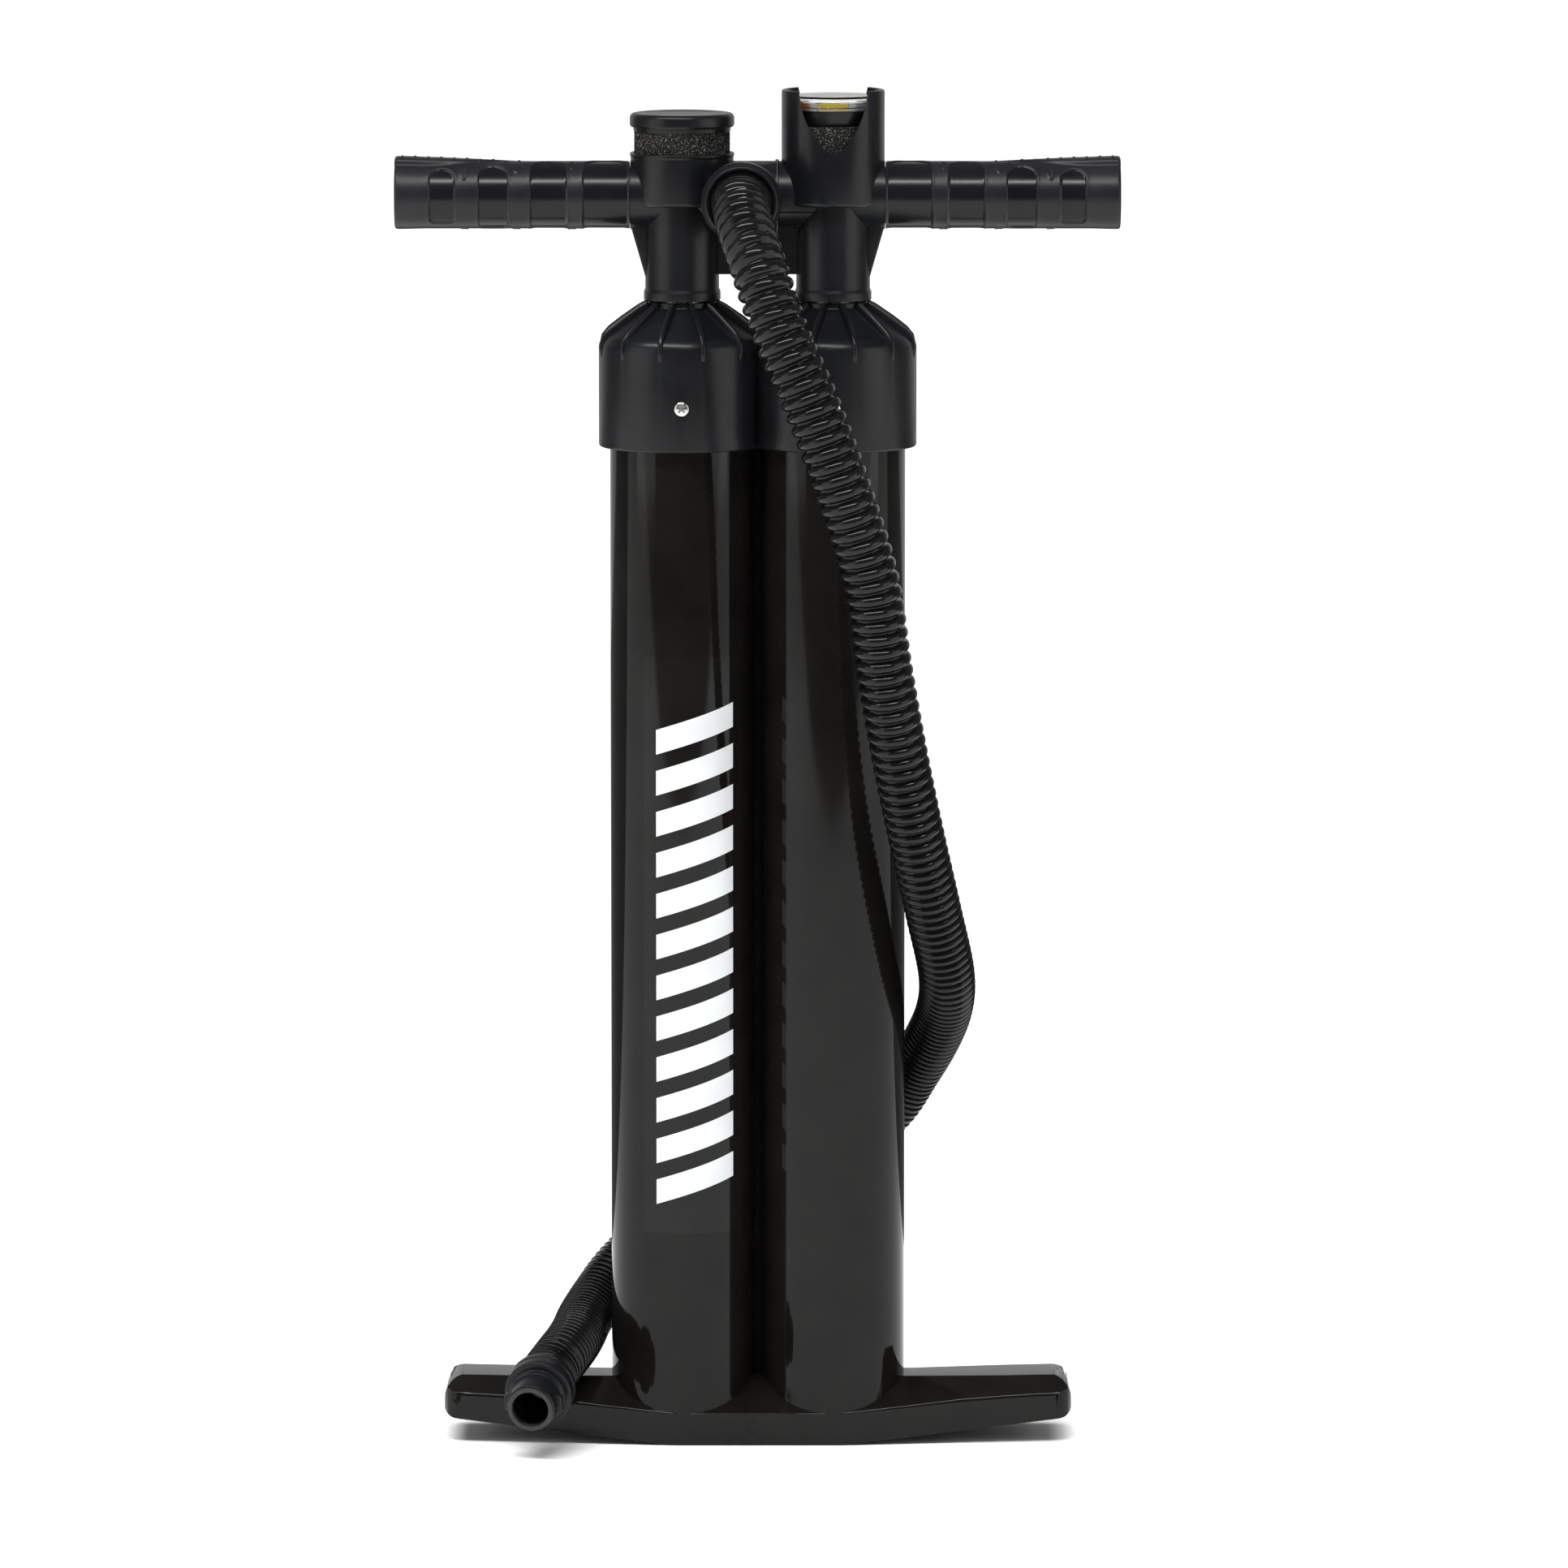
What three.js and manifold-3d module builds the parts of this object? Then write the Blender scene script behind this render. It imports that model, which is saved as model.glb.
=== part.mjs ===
// Twin-barrel hand pump: two fixed barrels on a foot plate, a T-handle with two
// hollow piston rods, an air filter, a pressure gauge and a stretch hose.
// Millimetres, +Z up, -Y front. The origin is the centre of the foot's underside.
import * as THREE from 'three';
import { mergeVertices } from 'three/addons/utils/BufferGeometryUtils.js';
import Module from 'manifold-3d';

const wasm = await Module();
wasm.setup();

// ---------- driving dimensions ----------

const GAP = 0.3;                 // kept between pieces that touch
const SIDES = 32;                // sides of the large round pieces
const FINE = 16;                 // sides of the middle-sized ones
const SMALL = 8;                 // sides of screws and pins

const BARREL = { x: 34.35, r: 33, bore: 30, floor: 10, top: 500 };
const WEB = { halfWidth: 4, halfDepth: 9, top: 457.2 };
const FOOT = {
  halfLength: 143, halfDepth: 34, tipDepth: 25.5, top: 28.9, flatDepth: 10.5, noseZ: 14.8,
  flatHalf: 37, tipRise: 11.6, corner: 9, wall: 3,
};
const FOOT_POCKETS = [[71, 92], [95, 115], [118, 137]];     // from the middle, on each side
const FLOOR_POCKET = { near: 12, far: 48, halfDepth: 22, height: 6 };
const CAP = { r: 38.1, bottom: 457.5, wallTop: 504.7, neckR: 15.6, neckZ: 521, top: 523.7 };
const CAP_CEILING = 502.6;       // underside of the cap's roof
const CAP_BORE = BARREL.r + GAP;
const RIB = { count: 12, width: 3, rise: 1.5, startAngle: 15 };
const SKIRT = { inner: 19, outer: 21.5, bottom: 486 };
const SCREW = { z: 477.7, headR: 3.4, head: 1.8, shankR: 1.5, tipY: 31 };

const ROD = { r: 11, bore: 8.5, bottom: 22.3, top: 550.7 };
const BUSH = { r: 13.5, flangeR: 18.7, bottom: 498.9, flangeTop: 502.3, top: 522.5 };
const ROD_SEAL = { r: 18, bottom: 494.4, top: 498.6 };
const RETAINER = { bottom: 486.5, top: 494.1 };
const BARREL_GASKET = { inner: 30.5, bottom: 500.3, top: 502.3 };
const PISTON = { r: 29.2, bottom: 16, top: 34, socket: 22, port: 4 };
const SEAL = { groove: 25.5, groovedFrom: 24.5, groovedTo: 29.5 };
const INLET = { holes: 6, holeR: 2, circle: 18.5, inner: 13, outer: 24, bottom: 13, thick: 1.2 };
const KEEPER = { r: 16, hub: 12.6, hole: 5, bottom: 11.4, flangeTop: 12.7 };
const OUTLET = { r: 7.5, thick: 1.5 };

const BAR = { z: 572, r: 15.5, core: 13, channel: 8, coreFrom: 57.9, end: 161 };
const STEM = { r: 16.85, collar: 17.6, bottom: 526, collarTop: 530, top: 575 };
const GUSSET = {
  outer: 57.8, high: 557, foot: 50, low: 531, inner: 40, top: 566, halfWidth: 3.5, webBottom: 536,
};
const SEAM = { x: 8.9, ringR: 16.2, ring: 0.8 };
const SLEEVE = { r: 7.7, bore: 6, from: 2.2, to: 16 };
const GRIP = { from: 58.2, to: 165, r: 15.5, endR: 15.9, bore: 13.3, endWall: 4 };
const GRIP_WINDOWS = [
  { from: 61, to: 79, half: 8 }, { from: 86, to: 103, half: 7 },
  { from: 113, to: 126.5, half: 6 }, { from: 137.5, to: 148.7, half: 5 },
];

const PORT = { x: -7.3, z: 571, r: 16, spigot: 14.2, bore: 9, base: 24.7, front: 36 };
const NUT = { r: 18.35, thread: 14.6, mouth: 9.5, back: 25, flange: 36.3, front: 39 };

const CUP = {
  r: 23.45, bottom: 567.5, rim: 591, recessR: 22.15, recess: 586.5, postR: 5, airHoleX: 12, airHoleR: 3,
};
const FOAM = { r: 21.85, bottom: 586.8, top: 602.2 };
const LID = { r: 23.8, bottom: 602.5, top: 609.4 };
const SHROUD = { inner: 21.15, floor: 588.3, top: 620, postTop: 604, passageR: 2 };
const GAUGE_FOAM = { r: 20.8, bottom: 588.6, top: 604 };
const GAUGE = { bottom: 604.3, top: 611, lowR: 18, topR: 19.5, recessR: 16.6, recess: 607.8 };
const DIAL = { r: 16.2, bottom: 608.1, top: 608.9 };
const NEEDLE = { bottom: 609.3, top: 610.1, hubR: 1.8, length: 12, width: 1.2 };
const LENS = { r: 20.5, bottom: 611.3, top: 617.5 };

const LABEL = { from: -32, to: 54, bottom: 98.6, top: 363.7, thick: 0.4 };

const HOSE = { r: 13, sides: 8, steps: 60 };
const HOSE_PATH = [
  [-7.3, -39.5, 571], [-7.3, -46, 571], [-7, -60, 569.2], [-5.5, -73, 563.8], [-2.5, -84.2, 555.2],
  [1.5, -92.8, 544], [10, -100, 519],
  [25, -101.5, 484], [39, -99, 445], [51, -92, 405], [57, -84, 365], [64, -72, 325],
  [72, -56, 285], [80, -36, 248], [86.5, -14, 215], [85.5, 6, 196], [80, 21, 180],
  [72, 33, 164.5], [61, 42.5, 146], [44, 49, 130], [22, 50, 117], [-4, 50, 106.5], [-28, 50, 96],
  [-48, 48.5, 84], [-64.5, 40, 69.5], [-74, 29, 58], [-80, 15.5, 50.5], [-83, 2, 46],
  [-86, -11, 43], [-91, -24, 38.6], [-95.7, -33.4, 33.8], [-97.6, -43, 31.4],
];
const CUFF = { r: 15.5, back: 0.3, front: 14, bore: 8.2 };
const NOZZLE = {
  r: 11, bore: 8.2, back: 14.3, front: 30, lugR: 13.4, lugFrom: 21, lugTo: 24.5, lugHalf: 5,
};
const GASKET = { inner: 8.4, outer: 10.4, from: 30.3, to: 31.8 };
const NOZZLE_TURN = { left: 11, down: 13 };

// ---------- colours ----------

function plastic(color, roughness) {
  return new THREE.MeshStandardMaterial({ color, roughness, metalness: 0 });
}

const MATERIAL = {
  gloss: plastic(0x1a1817, 0.18),
  satin: plastic(0x16181b, 0.45),
  grip: plastic(0x1b1c1e, 0.7),
  rubber: plastic(0x111111, 0.8),
  foam: plastic(0x141414, 0.95),
  hose: plastic(0x1c1c1d, 0.3),
  nylon: plastic(0xd8d4c8, 0.5),
  label: plastic(0xe8e8e6, 0.4),
  dial: plastic(0xf0eee4, 0.5),
  needle: plastic(0x1a1a1a, 0.5),
  steel: new THREE.MeshStandardMaterial({ color: 0xb8b8b6, roughness: 0.3, metalness: 1 }),
  tube: new THREE.MeshStandardMaterial({ color: 0xc2c4c6, roughness: 0.25, metalness: 1 }),
  lens: new THREE.MeshStandardMaterial({ color: 0xffffff, roughness: 0.05, opacity: 0.3, transparent: true }),
};

// ---------- solids ----------

// A closed three.js geometry as a solid that can be joined and cut.
function solid(geometry) {
  const bare = geometry.clone();
  bare.deleteAttribute('normal');
  bare.deleteAttribute('uv');
  const welded = mergeVertices(bare, 1e-4);
  const corners = welded.index.array;
  const triangles = [];
  for (let i = 0; i < corners.length; i += 3) {
    const [a, b, c] = [corners[i], corners[i + 1], corners[i + 2]];
    if (a !== b && b !== c && c !== a) triangles.push(a, b, c);
  }
  const positions = welded.attributes.position.array;
  if (signedVolume(positions, triangles) < 0) triangles.reverse();
  return new wasm.Manifold(new wasm.Mesh({
    numProp: 3,
    vertProperties: new Float32Array(positions),
    triVerts: new Uint32Array(triangles),
  }));
}

function signedVolume(positions, triangles) {
  const [a, b, c] = [new THREE.Vector3(), new THREE.Vector3(), new THREE.Vector3()];
  let volume = 0;
  for (let i = 0; i < triangles.length; i += 3) {
    a.fromArray(positions, triangles[i] * 3);
    b.fromArray(positions, triangles[i + 1] * 3);
    c.fromArray(positions, triangles[i + 2] * 3);
    volume += a.dot(b.cross(c)) / 6;
  }
  return volume;
}

function ordered(a, b) {
  return a < b ? [a, b] : [b, a];
}

function joined(first, ...others) {
  return others.reduce((sum, other) => sum.add(other), first);
}

function cut(first, ...others) {
  return others.reduce((rest, other) => rest.subtract(other), first);
}

// Turned about +Z. The outline is [radius, z] points; it closes by itself.
function turnedGeometry(outline, sides) {
  const points = outline.map(([r, z]) => new THREE.Vector2(r, z));
  points.push(points[0].clone());
  return new THREE.LatheGeometry(points, sides).rotateX(Math.PI / 2);
}

function turned(outline, sides = SIDES, x = 0, y = 0) {
  return solid(turnedGeometry(outline, sides).translate(x, y, 0));
}

function disc(r, from, to, sides = SIDES, x = 0, y = 0) {
  return turned([[0, from], [r, from], [r, to], [0, to]], sides, x, y);
}

function ring(inner, outer, from, to, sides = SIDES, x = 0) {
  return turned([[inner, from], [outer, from], [outer, to], [inner, to]], sides, x);
}

// Turned about +X, through (y 0, z axisZ). The outline is [radius, x] points.
function turnedAlongX(outline, sides, axisZ) {
  return solid(turnedGeometry(outline, sides).rotateY(Math.PI / 2).translate(0, 0, axisZ));
}

function rodAlongX(r, from, to, sides, axisZ) {
  return turnedAlongX([[0, from], [r, from], [r, to], [0, to]], sides, axisZ);
}

// Turned about -Y, through (x, z). The outline is [radius, distance forward] points.
function turnedForward(outline, sides, x, z) {
  return solid(turnedGeometry(outline, sides).rotateX(Math.PI / 2).translate(x, 0, z));
}

function block(x0, x1, y0, y1, z0, z1) {
  const box = new THREE.BoxGeometry(x1 - x0, y1 - y0, z1 - z0);
  return solid(box.translate((x0 + x1) / 2, (y0 + y1) / 2, (z0 + z1) / 2));
}

function extruded(points, depth) {
  const shape = new THREE.Shape(points.map(([a, b]) => new THREE.Vector2(a, b)));
  return new THREE.ExtrudeGeometry(shape, { depth, bevelEnabled: false });
}

// An outline of [y, z] points, drawn out along X.
function prismAlongX(points, from, to) {
  const turn = new THREE.Matrix4().makeBasis(
    new THREE.Vector3(0, 1, 0), new THREE.Vector3(0, 0, 1), new THREE.Vector3(1, 0, 0));
  return solid(extruded(points, to - from).applyMatrix4(turn).translate(from, 0, 0));
}

// An outline of [x, z] points, drawn out along Y.
function prismAlongY(points, from, to) {
  return solid(extruded(points, to - from).rotateX(Math.PI / 2).translate(0, to, 0));
}

// ---------- named pieces ----------

const pump = new THREE.Group();

function place(name, shape, material) {
  const { numProp, vertProperties, triVerts } = shape.getMesh();
  const geometry = new THREE.BufferGeometry();
  const positions = new Float32Array((vertProperties.length / numProp) * 3);
  for (let i = 0; i < positions.length / 3; i += 1) {
    positions.set(vertProperties.subarray(i * numProp, i * numProp + 3), i * 3);
  }
  geometry.setAttribute('position', new THREE.BufferAttribute(positions, 3));
  geometry.setIndex(new THREE.BufferAttribute(new Uint32Array(triVerts), 1));
  geometry.computeVertexNormals();
  const mesh = new THREE.Mesh(geometry, MATERIAL[material]);
  mesh.name = name;
  pump.add(mesh);
}

const SIDES_OF_PUMP = [['left', -1], ['right', 1]];

// ---------- foot and barrels ----------

function footProfile(inset) {
  const { halfDepth, flatDepth, top, noseZ } = FOOT;
  const half = [[halfDepth - inset, -inset], [halfDepth - inset, noseZ - inset * 0.6],
    [flatDepth - inset * 0.5, top - inset]];
  return [...half, ...half.map(([y, z]) => [-y, z]).reverse()];
}

// The foot from above: it narrows from its middle to its rounded tips.
function footPlan(inset) {
  const x = FOOT.halfLength - inset;
  const y = FOOT.halfDepth - inset;
  const tip = FOOT.tipDepth - inset;
  const { flatHalf, corner: c } = FOOT;
  const plan = new THREE.Shape();
  plan.moveTo(-flatHalf, -y);
  plan.lineTo(flatHalf, -y);
  plan.lineTo(x - c, -tip - 0.7);
  plan.quadraticCurveTo(x, -tip, x, -tip + c);
  plan.lineTo(x, tip - c);
  plan.quadraticCurveTo(x, tip, x - c, tip + 0.7);
  plan.lineTo(flatHalf, y);
  plan.lineTo(-flatHalf, y);
  plan.lineTo(-x + c, tip + 0.7);
  plan.quadraticCurveTo(-x, tip, -x, tip - c);
  plan.lineTo(-x, -tip + c);
  plan.quadraticCurveTo(-x, -tip, -x + c, -tip - 0.7);
  return solid(new THREE.ExtrudeGeometry(plan, { depth: 60, bevelEnabled: false, curveSegments: 5 })
    .translate(0, 0, -10));
}

// The foot from the front: flat in the middle, rising underneath to its rounded tips.
function footFront() {
  const { halfLength, flatHalf, tipRise, top, corner: c } = FOOT;
  const right = [[flatHalf, 0], [halfLength - 6, tipRise - 0.7], [halfLength - 1, tipRise + 2],
    [halfLength, tipRise + 6]];
  for (let k = 0; k <= 4; k += 1) {
    const angle = (Math.PI / 2) * (k / 4);
    right.push([halfLength - c + c * Math.cos(angle), top - c + c * Math.sin(angle)]);
  }
  return prismAlongY([...right, ...right.map(([x, z]) => [-x, z]).reverse()], -50, 50);
}

function foot() {
  const { halfLength, wall } = FOOT;
  const shape = prismAlongX(footProfile(0), -halfLength, halfLength);
  let body = shape.intersect(footPlan(0)).intersect(footFront());
  for (const side of [-1, 1]) {
    for (const pocket of FOOT_POCKETS) {
      const space = prismAlongX(footProfile(wall), ...ordered(side * pocket[0], side * pocket[1]));
      body = cut(body, space.intersect(footPlan(wall)));
    }
    const { near, far, halfDepth, height } = FLOOR_POCKET;
    body = cut(body, block(...ordered(side * near, side * far), -halfDepth, halfDepth, -1, height));
  }
  return body;
}

function screwHole(x, side) {
  const reach = side > 0 ? [-BARREL.r - 10, -SCREW.tipY] : [SCREW.tipY, BARREL.r + 10];
  return turnedForward([[0, -reach[1]], [SCREW.shankR + GAP, -reach[1]],
    [SCREW.shankR + GAP, -reach[0]], [0, -reach[0]]], SMALL, x, SCREW.z);
}

function screwHoles() {
  const holes = [];
  for (const [, side] of SIDES_OF_PUMP) {
    holes.push(screwHole(side * BARREL.x, 1), screwHole(side * BARREL.x, -1));
  }
  return holes;
}

function twinBarrel() {
  const { x, r, bore, floor, top } = BARREL;
  const web = block(-WEB.halfWidth, WEB.halfWidth, -WEB.halfDepth, WEB.halfDepth, 4, WEB.top);
  let body = joined(foot(), web, disc(r, 6, top, SIDES, -x), disc(r, 6, top, SIDES, x));
  body = cut(body, disc(bore, floor, top + 1, SIDES, -x), disc(bore, floor, top + 1, SIDES, x));
  return cut(body, ...screwHoles());
}

// ---------- twin cap and its seals ----------

function capLobe(x) {
  const { r, bottom, wallTop, neckR, neckZ, top } = CAP;
  return turned([[0, bottom], [r - 0.9, bottom], [r, bottom + 0.9], [r, wallTop - 2],
    [r - 0.6, wallTop - 0.5], [r - 2, wallTop + 0.6], [neckR + 1.2, neckZ - 0.6],
    [neckR, neckZ + 0.6], [neckR, top], [0, top]], SIDES, x);
}

function capRib(x, degrees) {
  const outline = [[CAP.neckR - 1, CAP.neckZ - 4], [CAP.neckR - 1, CAP.neckZ + 1],
    [CAP.r - 2.4, CAP.wallTop + RIB.rise], [CAP.r - 1.5, CAP.wallTop - 0.4]];
  const geometry = extruded(outline, RIB.width).rotateX(Math.PI / 2)
    .translate(0, RIB.width / 2, 0).rotateZ(THREE.MathUtils.degToRad(degrees));
  return solid(geometry.translate(x, 0, 0));
}

function twinCap() {
  let body = joined(capLobe(-BARREL.x), capLobe(BARREL.x));
  for (const [, side] of SIDES_OF_PUMP) {
    for (let i = 0; i < RIB.count; i += 1) {
      body = body.add(capRib(side * BARREL.x, RIB.startAngle + (i * 360) / RIB.count));
    }
  }
  for (const [, side] of SIDES_OF_PUMP) {
    const x = side * BARREL.x;
    body = cut(body, disc(CAP_BORE, CAP.bottom - 1, CAP_CEILING, SIDES, x));
    body = body.add(ring(SKIRT.inner, SKIRT.outer, SKIRT.bottom, CAP_CEILING + 1, FINE, x));
    body = cut(body, disc(BUSH.r + GAP, CAP_CEILING - 1, CAP.top + 1, FINE, x));
  }
  return cut(body, ...screwHoles());
}

function capScrew(x, side) {
  const face = CAP.r + GAP;
  const outline = [[0, SCREW.tipY + GAP], [SCREW.shankR, SCREW.tipY + GAP], [SCREW.shankR, face],
    [SCREW.headR, face], [SCREW.headR, face + 0.8], [SCREW.headR - 1, face + SCREW.head],
    [0, face + SCREW.head]];
  const geometry = turnedGeometry(outline, SMALL).rotateX(Math.PI / 2);
  if (side > 0) geometry.rotateZ(Math.PI);
  return solid(geometry.translate(x, 0, SCREW.z));
}

function rodBush(x) {
  const inner = ROD.r + GAP;
  return turned([[inner, BUSH.bottom], [BUSH.flangeR, BUSH.bottom], [BUSH.flangeR, BUSH.flangeTop],
    [BUSH.r, BUSH.flangeTop], [BUSH.r, BUSH.top], [inner, BUSH.top]], FINE, x);
}

// ---------- rods, pistons and valves ----------

function piston(x) {
  const groove = [SEAL.groove, SEAL.groovedFrom, SEAL.groovedTo];
  let body = turned([[0, PISTON.bottom], [PISTON.r, PISTON.bottom], [PISTON.r, groove[1]],
    [groove[0], groove[1]], [groove[0], groove[2]], [PISTON.r, groove[2]],
    [PISTON.r, PISTON.top], [0, PISTON.top]], SIDES, x);
  body = cut(body, disc(PISTON.port, PISTON.bottom - 1, PISTON.top, SMALL, x),
    disc(ROD.r + GAP, PISTON.socket, PISTON.top + 1, FINE, x));
  for (let i = 0; i < INLET.holes; i += 1) {
    const angle = (i * 2 * Math.PI) / INLET.holes;
    const [dx, dy] = [INLET.circle * Math.cos(angle), INLET.circle * Math.sin(angle)];
    body = cut(body, disc(INLET.holeR, PISTON.bottom - 1, PISTON.top + 1, SMALL, x + dx, dy));
  }
  return body;
}

function valveKeeper(x) {
  const top = PISTON.bottom - GAP;
  return turned([[KEEPER.hole, KEEPER.bottom], [KEEPER.r, KEEPER.bottom], [KEEPER.r, KEEPER.flangeTop],
    [KEEPER.hub, KEEPER.flangeTop], [KEEPER.hub, top], [KEEPER.hole, top]], FINE, x);
}

function placeBarrelPieces(name, side) {
  const x = side * BARREL.x;
  place(`rod_bush_${name}`, rodBush(x), 'satin');
  place(`rod_seal_${name}`, ring(ROD.r + GAP, ROD_SEAL.r, ROD_SEAL.bottom, ROD_SEAL.top, FINE, x), 'rubber');
  place(`seal_retainer_${name}`, ring(ROD.r + 2 * GAP, BUSH.flangeR, RETAINER.bottom, RETAINER.top,
    FINE, x), 'nylon');
  place(`barrel_gasket_${name}`, ring(BARREL_GASKET.inner, BARREL.r, BARREL_GASKET.bottom,
    BARREL_GASKET.top, FINE, x), 'rubber');
  place(`rod_${name}`, ring(ROD.bore, ROD.r, ROD.bottom, ROD.top, FINE, x), 'tube');
  place(`piston_${name}`, piston(x), 'nylon');
  place(`piston_seal_${name}`, ring(SEAL.groove + GAP, BARREL.bore - GAP,
    SEAL.groovedFrom + GAP, SEAL.groovedTo - GAP, SIDES, x), 'rubber');
  place(`valve_keeper_${name}`, valveKeeper(x), 'nylon');
  place(`inlet_disc_${name}`, ring(INLET.inner, INLET.outer, INLET.bottom,
    INLET.bottom + INLET.thick, FINE, x), 'rubber');
  place(`outlet_disc_${name}`, disc(OUTLET.r, ROD.bottom,
    ROD.bottom + OUTLET.thick, FINE, x), 'rubber');
  place(`cap_screw_front_${name}`, capScrew(x, -1), 'steel');
  place(`cap_screw_back_${name}`, capScrew(x, 1), 'steel');
}

// ---------- handle ----------

// The stem, bar and core that both handle mouldings share, on one side of the pump.
function handleHalf(side) {
  const x = side * BARREL.x;
  const inner = side > 0 ? SEAM.x + GAP / 2 : SEAM.x - GAP / 2;
  const stem = turned([[0, STEM.bottom], [STEM.collar, STEM.bottom], [STEM.collar, STEM.collarTop],
    [STEM.r, STEM.collarTop + 2], [STEM.r, STEM.top], [0, STEM.top]], SIDES, x);
  const gusset = prismAlongY([[side * GUSSET.outer, GUSSET.high], [side * GUSSET.foot, GUSSET.low],
    [side * GUSSET.inner, GUSSET.low], [side * GUSSET.inner, GUSSET.top],
    [side * GUSSET.outer, GUSSET.top]], -GUSSET.halfWidth, GUSSET.halfWidth);
  const web = block(...ordered(inner, side * (BARREL.x - 10)), -GUSSET.halfWidth, GUSSET.halfWidth,
    GUSSET.webBottom, GUSSET.top);
  return joined(
    rodAlongX(BAR.r, ...ordered(inner, side * BAR.coreFrom), SIDES, BAR.z),
    rodAlongX(BAR.core, ...ordered(side * (BAR.coreFrom - 2), side * BAR.end), FINE, BAR.z),
    rodAlongX(SEAM.ringR, ...ordered(inner, inner + side * SEAM.ring), SIDES, BAR.z),
    stem, gusset, web);
}

function handleBores(side) {
  const x = side * BARREL.x;
  const channel = ordered(SEAM.x - side * 2, side * (BAR.end - GRIP.endWall));
  return [
    disc(ROD.r + GAP, STEM.bottom - 1, ROD.top + GAP, FINE, x),
    disc(BAR.channel - 0.5, ROD.top, BAR.z, FINE, x),
    rodAlongX(BAR.channel, ...channel, FINE, BAR.z),
  ];
}

function cupOutline(top) {
  return [[0, CUP.bottom], [CUP.r - 0.8, CUP.bottom], [CUP.r, CUP.bottom + 0.8], [CUP.r, top - 0.5],
    [CUP.r - 0.5, top], [0, top]];
}

function handleLeft() {
  const x = -BARREL.x;
  const port = turnedForward([[0, 0], [PORT.r, 0], [PORT.r, PORT.base], [PORT.spigot, PORT.base],
    [PORT.spigot, PORT.front], [0, PORT.front]], SIDES, PORT.x, PORT.z);
  const portBore = turnedForward([[0, 0], [PORT.bore, 0], [PORT.bore, PORT.front + 1],
    [0, PORT.front + 1]], FINE, PORT.x, PORT.z);
  let body = joined(handleHalf(-1), port, turned(cupOutline(CUP.rim), SIDES, x));
  body = cut(body, disc(CUP.recessR, CUP.recess, CUP.rim + 1, SIDES, x));
  body = body.add(disc(CUP.postR, CUP.recess - 1, LID.bottom + 3, FINE, x));
  body = cut(body, ...handleBores(-1), portBore);
  for (const dx of [-CUP.airHoleX, CUP.airHoleX]) {
    body = cut(body, disc(CUP.airHoleR, BAR.z, CUP.recess + 1, SMALL, x + dx));
  }
  return body;
}

// The V-shaped windows through the front and back of the gauge shroud.
function shroudWindow(x) {
  const top = SHROUD.top;
  const half = [[16.6, top + 2], [15.4, top - 1], [13.8, top - 9.6], [11.2, top - 16],
    [7, top - 22.5], [3.2, top - 26.8], [0, top - 28]];
  const mirrored = half.slice(0, -1).reverse().map(([a, z]) => [-a, z]);
  return prismAlongY([...half, ...mirrored].map(([a, z]) => [x + a, z]), -30, 30);
}

function handleRight() {
  const x = BARREL.x;
  let body = joined(handleHalf(1), turned(cupOutline(SHROUD.top), SIDES, x));
  body = cut(body, disc(SHROUD.inner, SHROUD.floor, SHROUD.top + 1, SIDES, x), shroudWindow(x));
  body = body.add(disc(CUP.postR, SHROUD.floor - 1, SHROUD.postTop, FINE, x));
  body = cut(body, ...handleBores(1));
  return cut(body, disc(SHROUD.passageR, BAR.z, SHROUD.postTop + 1, SMALL, x));
}

function grip(side) {
  const outline = [[0, GRIP.from], [GRIP.r, GRIP.from], [GRIP.r, GRIP.to - 14],
    [GRIP.endR, GRIP.to - 6], [GRIP.endR, GRIP.to - 1.5], [GRIP.endR - 1.5, GRIP.to], [0, GRIP.to]];
  let body = turnedAlongX(outline, SIDES, BAR.z);
  body = cut(body, rodAlongX(GRIP.bore, GRIP.from - 1, BAR.end + GAP, FINE, BAR.z));
  for (const { from, to, half } of GRIP_WINDOWS) {
    body = cut(body, block(from, to, -20, 20, BAR.z - half, BAR.z + half));
  }
  return side > 0 ? body : body.mirror([1, 0, 0]);
}

// ---------- filter, gauge and hose nut ----------

function filterCap() {
  return turned([[CUP.postR + GAP, LID.bottom], [LID.r - 0.6, LID.bottom], [LID.r, LID.bottom + 0.8],
    [LID.r, LID.top - 2.4], [LID.r - 0.8, LID.top - 0.8], [LID.r - 2.6, LID.top],
    [LID.r - 5, LID.top - 0.5], [0, LID.top - 1], [0, LID.bottom + 3.6],
    [CUP.postR + GAP, LID.bottom + 3.6]], SIDES, -BARREL.x);
}

function gaugeHousing() {
  return turned([[0, GAUGE.bottom], [GAUGE.lowR, GAUGE.bottom], [GAUGE.topR, GAUGE.top],
    [GAUGE.recessR, GAUGE.top], [GAUGE.recessR, GAUGE.recess], [0, GAUGE.recess]], SIDES, BARREL.x);
}

function gaugeNeedle() {
  const pointer = block(-NEEDLE.length, 3, -NEEDLE.width / 2, NEEDLE.width / 2, NEEDLE.bottom, NEEDLE.top);
  const needle = joined(disc(NEEDLE.hubR, NEEDLE.bottom, NEEDLE.top, SMALL), pointer);
  return needle.rotate([0, 0, 45]).translate([BARREL.x, 0, 0]);
}

function hoseNut() {
  return turnedForward([[NUT.thread, NUT.back], [NUT.r, NUT.back], [NUT.r, NUT.front - 1.4],
    [NUT.r - 1.4, NUT.front], [NUT.mouth, NUT.front], [NUT.mouth, NUT.flange],
    [NUT.thread, NUT.flange]], SIDES, PORT.x, PORT.z);
}

// ---------- label, hose and nozzle ----------

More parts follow.
